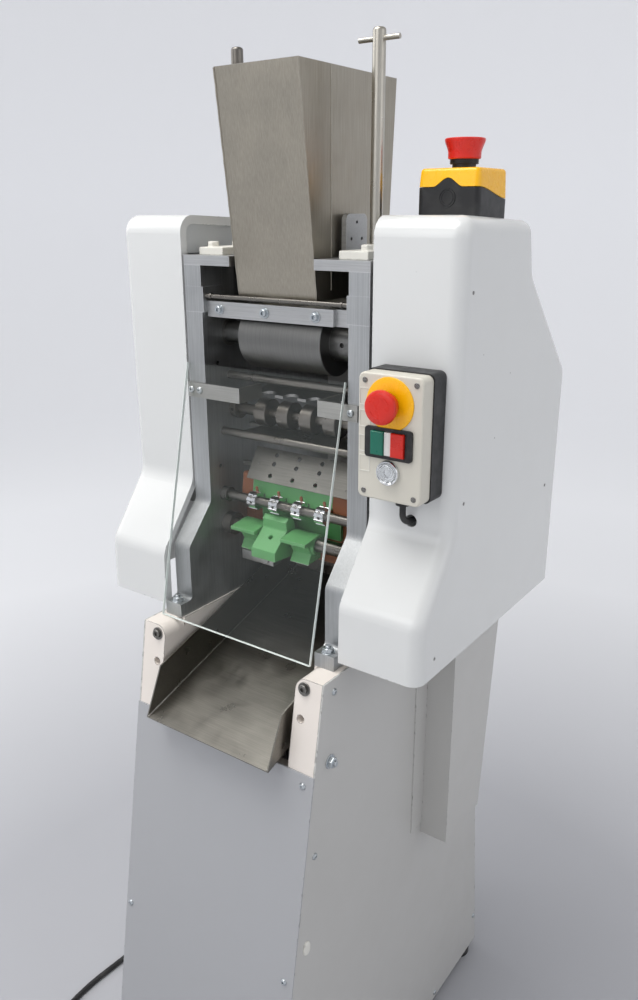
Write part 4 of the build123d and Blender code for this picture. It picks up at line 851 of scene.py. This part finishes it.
@dataclass
class Fasteners:
    """Bolts, screws and washers; a head is given by its corner radius, height and washer."""

    toe_seat: Point = (0.135, FRONT - 0.0645, STAND + 0.020)
    toe_head: Point = (0.0078, 0.0056, 0.0092)
    side_head: Point = (0.0080, 0.0062, 0.0100)
    side_height: float = 0.745

    def hex_head(self, bm: bmesh.types.BMesh, centre: Point, out: Point, size: float, high: float,
                 washer: float, turn: float = 0.3) -> None:
        """Chamfered hexagon head over a round washer.

        Args:
            bm: Mesh to add to.
            centre: Middle of the washer's seat.
            out: Outward direction.
            size: Corner radius of the head.
            high: Head height.
            washer: Washer radius.
            turn: Turn of the hexagon, in radians.
        """
        turned(bm, [(0.0, 0.0), (washer, 0.0), (washer, 0.0011), (washer - 0.0004, 0.0015), (0.0, 0.0015)],
               centre, out, 40)
        up = (0, 0, 1) if abs(out[2]) < 0.9 else (0, 1, 0)
        place = facing(centre, out, up) @ Matrix.Translation((0, 0, 0.0014))
        prism(bm, polygon(size, 6, turn), place, high - 0.0007, 0.0005, 2)
        top = Vector(centre) + Vector(out).normalized() * (0.0014 + high - 0.0008)
        turned(bm, [(0.0, 0.0), (size * 0.86, 0.0), (size * 0.80, 0.0006), (size * 0.74, 0.0008),
                    (0.0, 0.0008)], tuple(top), out, 36)

    def socket_head(self, bm: bmesh.types.BMesh, centre: Point, out: Point, radius: float, high: float,
                    washer: float) -> None:
        """Round head with a hexagon socket over a washer."""
        turned(bm, [(0.0, 0.0), (washer, 0.0), (washer, 0.0011), (washer - 0.0004, 0.0015), (radius, 0.0015),
                    (radius, high - 0.0006), (radius - 0.0006, high), (radius * 0.50, high),
                    (radius * 0.46, high - 0.0004), (radius * 0.46, high * 0.45), (0.0, high * 0.40)],
               centre, out, 36)

    def button_head(self, bm: bmesh.types.BMesh, centre: Point, out: Point, radius: float) -> None:
        """Low round head with a small recess."""
        shares = [(0.0, 0.0), (1.0, 0.0), (0.98, 0.16), (0.86, 0.38), (0.66, 0.52), (0.36, 0.60),
                  (0.30, 0.56), (0.26, 0.24), (0.0, 0.20)]
        turned(bm, [(radius * a, radius * b) for a, b in shares], centre, out, 30)

    def front_y(self, z: float) -> float:
        """The stand's sloping front at a height, in metres."""
        return -0.340 + 0.17 * z

    def bolts(self) -> None:
        """Toe bolts on the frames and the bolts in the stand's sides."""
        bm = bmesh.new()
        for s, turn in ((-1, 0.2), (1, 0.55)):
            x, y, z = self.toe_seat
            self.hex_head(bm, (s * x, y, z), (0, 0, 1), *self.toe_head, turn)
            turned(bm, [(0.0, 0.0), (0.0040, 0.0), (0.0040, 0.0030), (0.0034, 0.0036), (0.0, 0.0036)],
                   (s * x, y, z + 0.0066), (0, 0, 1), 24)
            y = self.front_y(self.side_height) + 0.033
            self.hex_head(bm, (s * 0.160, y, self.side_height), (s, 0, 0), *self.side_head, turn)
            turned(bm, [(0.0, 0.0), (0.0040, 0.0), (0.0040, 0.0032), (0.0034, 0.0038), (0.0, 0.0038)],
                   (s * 0.1672, y, 0.745), (s, 0, 0), 24)
        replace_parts(finish_mesh("hex_bolt_set", bm, Palette.ZINC), "hex_bolts")

    def screws(self) -> None:
        """Socket screws of the posts and scraper, and button heads of brackets and panels."""
        bm = bmesh.new()
        for x in (-95, -17, 65):
            self.socket_head(bm, at(x, 8, 70.5), (0, -1, 0), 0.0050, 0.0055, 0.0072)
        for x in (-144, -129, 126):
            self.button_head(bm, at(x, -3, 183.5), (0, -1, 0), 0.0052)
        slope = Vector((0, -1, 0.17)).normalized()
        for x, z in ((0.144, 0.723), (-0.151, 0.412), (0.145, 0.438), (-0.151, 0.090), (0.145, 0.090)):
            self.button_head(bm, (x, self.front_y(z) - 0.002, z), tuple(slope), 0.0048)
        for s in (-1, 1):
            for y, z in ((-171, 844), (-216, 618), (324, 83), (167, 26), (-236, 300), (258, 600)):
                self.button_head(bm, (s * 0.160, y * MM, z * MM), (s, 0, 0), 0.0048)
        light = finish_mesh("screw_set", bm, Palette.ZINC)
        bm = bmesh.new()
        for s in (-1, 1):
            z = STAND - 0.013
            self.socket_head(bm, (s * 0.131, self.front_y(z), z), tuple(slope), 0.0062, 0.0052, 0.0092)
        dark = finish_mesh("post_screws", bm, Palette.DARK_STEEL)
        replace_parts(light, "screws")
        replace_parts(dark, "screws")

    def plugs(self) -> None:
        """Blind plugs that close spare holes in the stand's sides."""
        bm = bmesh.new()
        for s in (-1, 1):
            start = len(bm.verts)
            turned(bm, [(0.0, 0.0), (0.0075, 0.0), (0.0074, 0.0012), (0.0066, 0.0022), (0.0040, 0.0028),
                        (0.0, 0.0030)], (s * 0.160, -0.236, 0.479), (s, 0, 0), 36)
            bm.verts.ensure_lookup_table()
            for vert in bm.verts[start:]:
                vert.co.z = 0.479 + (vert.co.z - 0.479) * 1.5
        finish_mesh("blind_plugs", bm, Palette.CASTING)

    def build(self) -> None:
        """Make every fastener."""
        self.bolts()
        self.screws()
        self.plugs()


@dataclass
class Station:
    """Dressing of the push-button station on the right cover."""

    x: float = 0.211
    top: float = 1.251
    face: float = -0.1344
    width: float = 0.086
    height: float = 0.151
    stop_drop: float = 0.034
    key_drop: float = 0.080
    lamp_drop: float = 0.115

    def plate(self, bm: bmesh.types.BMesh, outline: list[Pair], dx: float, z: float, low: float, depth: float,
              bevel: float = 0.0004) -> None:
        """Add a flat piece on the lid; low is how deep it starts below the face."""
        place = facing((self.x + dx, self.face + low, z), (0, -1, 0))
        prism(bm, outline, place, depth, bevel)

    def ring(self, bm: bmesh.types.BMesh, outer: list[Pair], inner: list[Pair], dx: float, z: float,
             depth: float) -> None:
        """Add a flat frame between two outlines with the same number of corners."""
        place = facing((self.x + dx, self.face, z), (0, -1, 0))
        loops = []
        for points, high in ((outer, 0.0), (outer, depth), (inner, depth), (inner, 0.0)):
            loops.append([bm.verts.new(place @ Vector((a, b, high))) for a, b in points])
        n = len(outer)
        for first, second in zip(loops, [*loops[1:], loops[0]]):
            for i in range(n):
                j = (i + 1) % n
                bm.faces.new((first[i], first[j], second[j], second[i]))

    def stop(self) -> None:
        """Yellow disc under the red stop head, and the head itself."""
        z = self.top - self.stop_drop
        bm = bmesh.new()
        turned(bm, [(0.0125, 0.0), (0.0312, 0.0), (0.0315, 0.0004), (0.0312, 0.0014), (0.0300, 0.0018),
                    (0.0130, 0.0018), (0.0125, 0.0012)], (self.x, self.face, z), (0, -1, 0), 56)
        finish_mesh("station_yellow_disc", bm, Palette.YELLOW)
        bm = bmesh.new()
        turned(bm, [(0.0, 0.007), (0.0150, 0.007), (0.0158, 0.0078), (0.0166, 0.0120), (0.0180, 0.0150),
                    (0.0196, 0.0170), (0.0200, 0.0190), (0.0200, 0.0215), (0.0194, 0.0236), (0.0178, 0.0247),
                    (0.0120, 0.0250), (0.0060, 0.0250), (0.0, 0.0250)],
               (self.x, self.face, z), (0, -1, 0), 56)
        place = facing((self.x, self.face - 0.0247, z), (0, -1, 0))
        for k in range(2):
            for i in range(5):
                a = math.pi * k + 0.5 + i * 0.22
                mid = Vector((0.0125 * math.cos(a), 0.0125 * math.sin(a), 0.0))
                spot = place @ Matrix.Translation(mid) @ Matrix.Rotation(a, 4, "Z")
                prism(bm, rounded(0.0016, 0.0030, 0.0005, 2), spot, 0.0008, 0.0001, 1)
        head = finish_mesh("station_stop_head", bm, Palette.RED, "station_stop_button")
        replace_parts(head, "station_stop_button")

    def keys(self) -> None:
        """Black frame round the two keys and the pale strip between them."""
        z = self.top - self.key_drop
        bm = bmesh.new()
        self.ring(bm, rounded(0.063, 0.037, 0.004), rounded(0.0452, 0.0288, 0.001), 0.0, z, 0.0032)
        finish_mesh("station_key_frame", bm, Palette.BLACK)
        bm = bmesh.new()
        self.plate(bm, rounded(0.0088, 0.0276, 0.0008, 3), 0.0, z, 0.006, 0.0110, 0.0006)
        finish_mesh("station_key_strip", bm, Palette.WHITE)

    def lamp(self) -> None:
        """Bright bezel and fluted lens of the indicator."""
        z = self.top - self.lamp_drop
        bm = bmesh.new()
        turned(bm, [(0.0122, 0.0), (0.0150, 0.0), (0.0152, 0.0010), (0.0150, 0.0036), (0.0142, 0.0048),
                    (0.0130, 0.0050), (0.0122, 0.0042)], (self.x, self.face, z), (0, -1, 0), 48)
        finish_mesh("station_lamp_bezel", bm, Palette.CHROME)
        bm = bmesh.new()
        turned(bm, [(0.0, 0.0005), (0.0118, 0.0005), (0.0120, 0.0010), (0.0110, 0.0018), (0.0, 0.0020)],
               (self.x, self.face, z), (0, -1, 0), 48)
        finish_mesh("station_lamp_mirror", bm, Palette.CHROME)
        bm = bmesh.new()
        rows = [(0.0, 0.0026), (0.0120, 0.0026), (0.0121, 0.0060), (0.0117, 0.0078), (0.0104, 0.0088),
                (0.0094, 0.0083), (0.0084, 0.0088), (0.0074, 0.0084), (0.0064, 0.0089), (0.0054, 0.0085),
                (0.0044, 0.0090), (0.0034, 0.0086), (0.0024, 0.0090), (0.0, 0.0090)]
        turned(bm, rows, (self.x, self.face, z), (0, -1, 0), 72)
        centre = Vector((self.x, self.face, z))
        for vert in bm.verts:
            flat = Vector((vert.co.x - centre.x, 0, vert.co.z - centre.z))
            if flat.length > 0.0118:
                index = round(math.atan2(flat.z, flat.x) / math.tau * 72)
                flat *= 1.0 - 0.022 * (index % 2)
                vert.co.x, vert.co.z = centre.x + flat.x, centre.z + flat.z
        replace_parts(finish_mesh("station_lamp_lens", bm, Palette.LENS), "indicator_lamp")

    def lid(self) -> None:
        """Label fields beside the controls, and the four lid screws."""
        bm = bmesh.new()
        for drop in (0.024, 0.050, 0.080, 0.104):
            self.ring(bm, rounded(0.0150, 0.0200, 0.0012, 3), rounded(0.0134, 0.0184, 0.0008, 3), -0.0335,
                      self.top - drop - 0.004, 0.0006)
        finish_mesh("station_label_frames", bm, Palette.LABEL)
        bm = bmesh.new()
        for sx in (-1, 1):
            for z in (self.top - 0.009, self.top - self.height + 0.009):
                dx = sx * (self.width / 2 - 0.009)
                turned(bm, [(0.0, 0.0), (0.0034, 0.0), (0.0035, 0.0004), (0.0031, 0.0009), (0.0, 0.0010)],
                       (self.x + dx, self.face, z), (0, -1, 0), 28)
                for width, high in ((0.0044, 0.0009), (0.0009, 0.0044)):
                    self.plate(bm, rounded(width, high, 0.0003, 2), dx, z, -0.0008, 0.0005, 0.0001)
        finish_mesh("station_lid_screws", bm, Palette.DARK_STEEL)

    def build(self) -> None:
        """Dress the whole station."""
        self.stop()
        self.keys()
        self.lamp()
        self.lid()


@dataclass
class StopBox:
    """Emergency-stop box on the cover: black base, yellow lid with a waved seam, red head."""

    low: Point = (0.168, -0.011, 1.4205)
    foot: float = -0.0055
    size: float = 0.080
    split: float = 0.031
    high: float = 0.052
    corner: float = 0.007
    gap: float = 0.0004
    steps: int = 160

    def ring_points(self, shrink: float) -> list[Pair]:
        """Evenly placed points round the box's outline, shrunk inward."""
        outline = rounded(self.size - 2 * shrink, self.size - 2 * shrink, max(self.corner - shrink, 0.001), 8)
        closed = [*outline, outline[0]]
        runs = [math.dist(a, b) for a, b in zip(closed, closed[1:])]
        total = sum(runs)
        points = []
        for k in range(self.steps):
            want = total * k / self.steps
            i = 0
            while want > runs[i]:
                want -= runs[i]
                i += 1
            share = want / runs[i] if runs[i] > 0 else 0.0
            a, b = closed[i], closed[i + 1]
            points.append((a[0] + (b[0] - a[0]) * share, a[1] + (b[1] - a[1]) * share))
        return points

    def seam(self, x: float, y: float) -> float:
        """Height of the seam above the box's foot at a point of the outline."""
        half = self.size / 2
        share = min(max((y + half) / self.size, 0.0), 1.0)
        fall = 0.0130 * share * share * (3 - 2 * share)
        bell = 0.0
        if abs(y) > half - 0.0010 and abs(x) < 0.0200:
            bell = 0.0050 * (1 + math.cos(math.pi * x / 0.0200))
        return self.split - fall + bell

    def shell(self, rows: list[tuple[float, float, float]], name: str, finish: Palette, node: str) -> None:
        """Make one half of the box.

        Args:
            rows: (shrink, height, share of the seam) for each ring of points, from one end to the other.
            name: Piece name.
            finish: Its finish.
            node: The CAD node that it stands for.
        """
        cx, cy, cz = self.low[0] + self.size / 2, self.low[1] + self.size / 2, self.low[2]
        bm = bmesh.new()
        loops = []
        for shrink, height, share in rows:
            loop = []
            for x, y in self.ring_points(shrink):
                z = height * (1 - share) + (self.seam(x, y) + height) * share
                loop.append(bm.verts.new((cx + x, cy + y, cz + z)))
            loops.append(loop)
        for first, second in zip(loops, loops[1:]):
            for i in range(self.steps):
                j = (i + 1) % self.steps
                bm.faces.new((first[i], first[j], second[j], second[i]))
        for loop in (loops[0], loops[-1]):
            height = sum(v.co.z for v in loop) / len(loop)
            hub = bm.verts.new((cx, cy, height))
            for i in range(self.steps):
                bm.faces.new((loop[i], loop[(i + 1) % self.steps], hub))
        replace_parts(finish_mesh(name, bm, finish), node)

    def knockouts(self) -> None:
        """Raised round blank in the base's front wall."""
        cx = self.low[0] + self.size / 2
        bm = bmesh.new()
        turned(bm, [(0.0, 0.0004), (0.0068, 0.0004), (0.0070, 0.0010), (0.0080, 0.0010), (0.0082, 0.0004),
                    (0.0092, 0.0004), (0.0094, 0.0010), (0.0104, 0.0010), (0.0106, 0.0)],
               (cx, self.low[1], self.low[2] + 0.0190), (0, -1, 0), 44)
        finish_mesh("stop_box_knockouts", bm, Palette.BLACK)

    def head(self) -> None:
        """Red head that widens to the top, with a dished crown."""
        cx, cy = self.low[0] + self.size / 2, self.low[1] + self.size / 2
        z = self.low[2] + self.high + 0.0105
        bm = bmesh.new()
        turned(bm, [(0.0, 0.0), (0.0185, 0.0), (0.0195, 0.0010), (0.0196, 0.0070), (0.0200, 0.0095),
                    (0.0214, 0.0135), (0.0232, 0.0178), (0.0239, 0.0205), (0.0238, 0.0222), (0.0228, 0.0230),
                    (0.0205, 0.0228), (0.0180, 0.0222), (0.0100, 0.0216), (0.0, 0.0214)],
               (cx, cy, z), (0, 0, 1), 56)
        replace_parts(finish_mesh("stop_box_head", bm, Palette.RED, "stop_box_button"), "stop_box_button")
        bm = bmesh.new()
        for height in (0.0060, 0.0077, 0.0094):
            turned(bm, [(0.0160, -0.0008), (0.0171, -0.0005), (0.0171, 0.0005), (0.0160, 0.0008)],
                   (cx, cy, self.low[2] + self.high + height), (0, 0, 1), 44)
        finish_mesh("stop_box_collar_ribs", bm, Palette.BLACK, "stop_box_stem")

    def build(self) -> None:
        """Make the box."""
        g = self.gap
        foot = self.foot
        self.shell([(0.0010, foot, 0.0), (0.0, foot + 0.0010, 0.0), (0.0, -g, 1.0), (0.0006, -g, 1.0)],
                   "stop_box_black_base", Palette.BLACK, "stop_box_base")
        top = self.high
        self.shell([(0.0006, g, 1.0), (0.0, g, 1.0), (0.0014, top - 0.0050, 0.0),
                    (0.0018, top - 0.0030, 0.0), (0.0029, top - 0.0013, 0.0), (0.0046, top - 0.0003, 0.0),
                    (0.0064, top, 0.0)],
                   "stop_box_yellow_lid", Palette.YELLOW, "stop_box_lid")
        self.knockouts()
        self.head()


@dataclass
class Casting:
    """Cast part: a CAD node's solid with its corners softened all over."""

    node: str
    name: str
    finish: Palette
    body: str = "root"
    voxel: float = 0.0010
    rounds: int = 4

    def build(self, nodes: dict[str, bpy.types.Object]) -> None:
        """Copy, remesh and soften the node, and show the copy in its place."""
        obj = bpy.data.objects.new(self.name, nodes[self.node].data.copy())
        bpy.context.scene.collection.objects.link(obj)
        remesh = obj.modifiers.new("cast", "REMESH")
        remesh.mode = "VOXEL"
        remesh.voxel_size = self.voxel
        remesh.use_smooth_shade = True
        smooth = obj.modifiers.new("soft", "SMOOTH")
        smooth.factor = 0.5
        smooth.iterations = self.rounds
        depsgraph = bpy.context.evaluated_depsgraph_get()
        mesh = bpy.data.meshes.new_from_object(obj.evaluated_get(depsgraph))
        obj.modifiers.clear()
        obj.data = mesh
        mesh.materials.clear()
        mesh.materials.append(self.finish.value.material())
        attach(obj, self.body)
        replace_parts(obj, self.node)
        LOG.info("casting %s: %d faces on %s", self.name, len(mesh.polygons), self.body)


@dataclass
class Works:
    """Small parts between the side frames."""

    columns: tuple[float, ...] = (-60, -20, 20, 60)

    def hopper_seams(self) -> None:
        """Weld beads down the hopper's corners and the folded line on its sides."""
        for s, name in ((-1, "left"), (1, "right")):
            points = []
            for i in range(29):
                t = i / 28
                wave = 0.00035 * math.sin(i * 2.4)
                points.append((s * (0.0635 - 0.0001) + s * wave, -0.1050 + 0.0342 * t, 1.589 - 0.270 * t))
            wire(f"hopper_weld_{name}", points, 0.0011, Palette.HOPPER)
            line = [(s * 0.0636, -0.0400, 1.589), (s * 0.0637, -0.0398, 1.500), (s * 0.0637, -0.0396, 1.400),
                    (s * 0.0636, -0.0394, 1.330)]
            wire(f"hopper_fold_{name}", line, 0.0006, Palette.HOPPER)

    def chute_folds(self) -> None:
        """Folded corners where the chute's floor meets its sides, drawn in brighter stainless as a painted
        highlight.
        """
        for s, name in ((-1, "left"), (1, "right")):
            x = s * 0.1074
            points = [(x, -0.2465, 0.7479), (x, -0.0700, 0.8028), (x, 0.1055, 0.8575)]
            # Painted highlight: bright stainless lines along the folds.
            wire(f"chute_fold_{name}", points, 0.0009, Palette.BRACKET)

    def pins(self) -> None:
        """Brown stripper pins that stand in front of the green block."""
        bm = bmesh.new()
        for x in self.columns:
            low = at(x, 35, 330)
            turned(bm, [(0.0, -0.0012), (0.0022, -0.0012), (0.0022, 0.0058), (0.0017, 0.0068), (0.0, 0.0070)],
                   low, (0, -0.25, 1), 20)
        finish_mesh("stripper_pins", bm, Palette.BROWN)

    def collars(self) -> None:
        """Set screws in the bright collars."""
        bm = bmesh.new()
        for x in self.columns:
            base = Vector(at(x, 31, 343))
            out = Vector((0, -0.80, 0.60)).normalized()
            turned(bm, [(0.0, 0.0128), (0.0022, 0.0128), (0.0024, 0.0134), (0.0020, 0.0136), (0.0012, 0.0136),
                        (0.0010, 0.0126), (0.0, 0.0124)], tuple(base), tuple(out), 20)
        finish_mesh("collar_set_screws", bm, Palette.DARK_STEEL, "feed_shaft")

    def lever(self) -> None:
        """Flat lever under the left finger arms, with its screw."""
        bm = bmesh.new()
        slab(bm, at(-77, 16, 433), at(-18, 36, 418), 0.0010)
        turned(bm, [(0.0, 0.0), (0.0045, 0.0), (0.0045, 0.0022), (0.0038, 0.0030), (0.0, 0.0030)],
               at(-30, 16, 425.5), (0, -1, 0), 28)
        finish_mesh("finger_lever", bm, Palette.STEEL, "finger_shaft")

    def stay(self) -> None:
        """Collars near both ends of the thin front stay."""
        bm = bmesh.new()
        for s in (-1, 1):
            turned(bm, [(0.0031, 0.0), (0.0040, 0.0002), (0.0042, 0.0010), (0.0042, 0.0026), (0.0040, 0.0034),
                        (0.0031, 0.0036)], at(s * 105, 5, 53), (s, 0, 0), 28)
        finish_mesh("stay_collars", bm, Palette.SHAFT)

    def build(self) -> None:
        """Make them all."""
        self.hopper_seams()
        self.chute_folds()
        self.pins()
        self.collars()
        self.lever()
        self.stay()


@dataclass
class Covers:
    """Inner liners of both covers and small marks on the right one."""

    def liner(self) -> None:
        """Panels in a darker copy of the cover white, painted shade, that close the covers beside the top
        plate.
        """
        for s, name in ((-1, "left"), (1, "right")):
            bm = bmesh.new()
            y0, y1, z0, z1, r = -0.0740, 0.0890, 1.3712, 1.4120, 0.014
            outline = [(y0, z0), (y1 + 0.010, z0), (y1, z1 - 0.004)]
            for i in range(9):
                a = math.radians(90 + 90 * i / 8)
                outline.append((y0 + r + r * math.cos(a), z1 - r + r * math.sin(a)))
            place = Matrix(((0, 0, s, s * 0.1572), (1, 0, 0, 0), (0, 1, 0, 0), (0, 0, 0, 1)))
            prism(bm, outline, place, 0.0012, 0.0003, 1)
            finish_mesh(f"cover_liner_{name}", bm, Palette.LINER)

    def marks(self) -> None:
        """Small screw pits in the right cover's side."""
        bm = bmesh.new()
        for back, drop in ((25, 32), (29, 283), (-30, 469), (300, 330)):
            turned(bm, [(0.0, 0.0002), (0.0010, 0.0002), (0.0016, 0.0006), (0.0022, 0.0004), (0.0022, 0.0)],
                   (0.2710, FRONT + back * MM, TOP - drop * MM), (1, 0, 0), 20)
        finish_mesh("cover_screw_pits", bm, Palette.DARK_STEEL)

    def build(self) -> None:
        """Make them all."""
        self.liner()
        self.marks()


# ------------------------------------------------------------------ dressing

def dress_frame(nodes: dict[str, bpy.types.Object]) -> None:
    """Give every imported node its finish."""
    for name, obj in nodes.items():
        finish = NODE_FINISHES[name].value
        obj.data.materials.clear()
        obj.data.materials.append(finish.material())
        LOG.info("node %s: %s", name, finish.name)


def main() -> None:
    """Build everything in order."""
    logging.basicConfig(level=logging.INFO, format="%(message)s")
    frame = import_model()
    Stage().build()
    MainsLead().build()
    dress_frame(frame["nodes"])
    Guard().build()
    Fasteners().build()
    Station().build()
    StopBox().build()
    Casting("finger_arms", "finger_castings", Palette.GREEN, "finger_shaft").build(frame["nodes"])
    Casting("rod_blocks", "rod_block_castings", Palette.CASTING, "root", 0.0010, 5).build(frame["nodes"])
    Works().build()
    Covers().build()


if __name__ == "__main__":
    main()
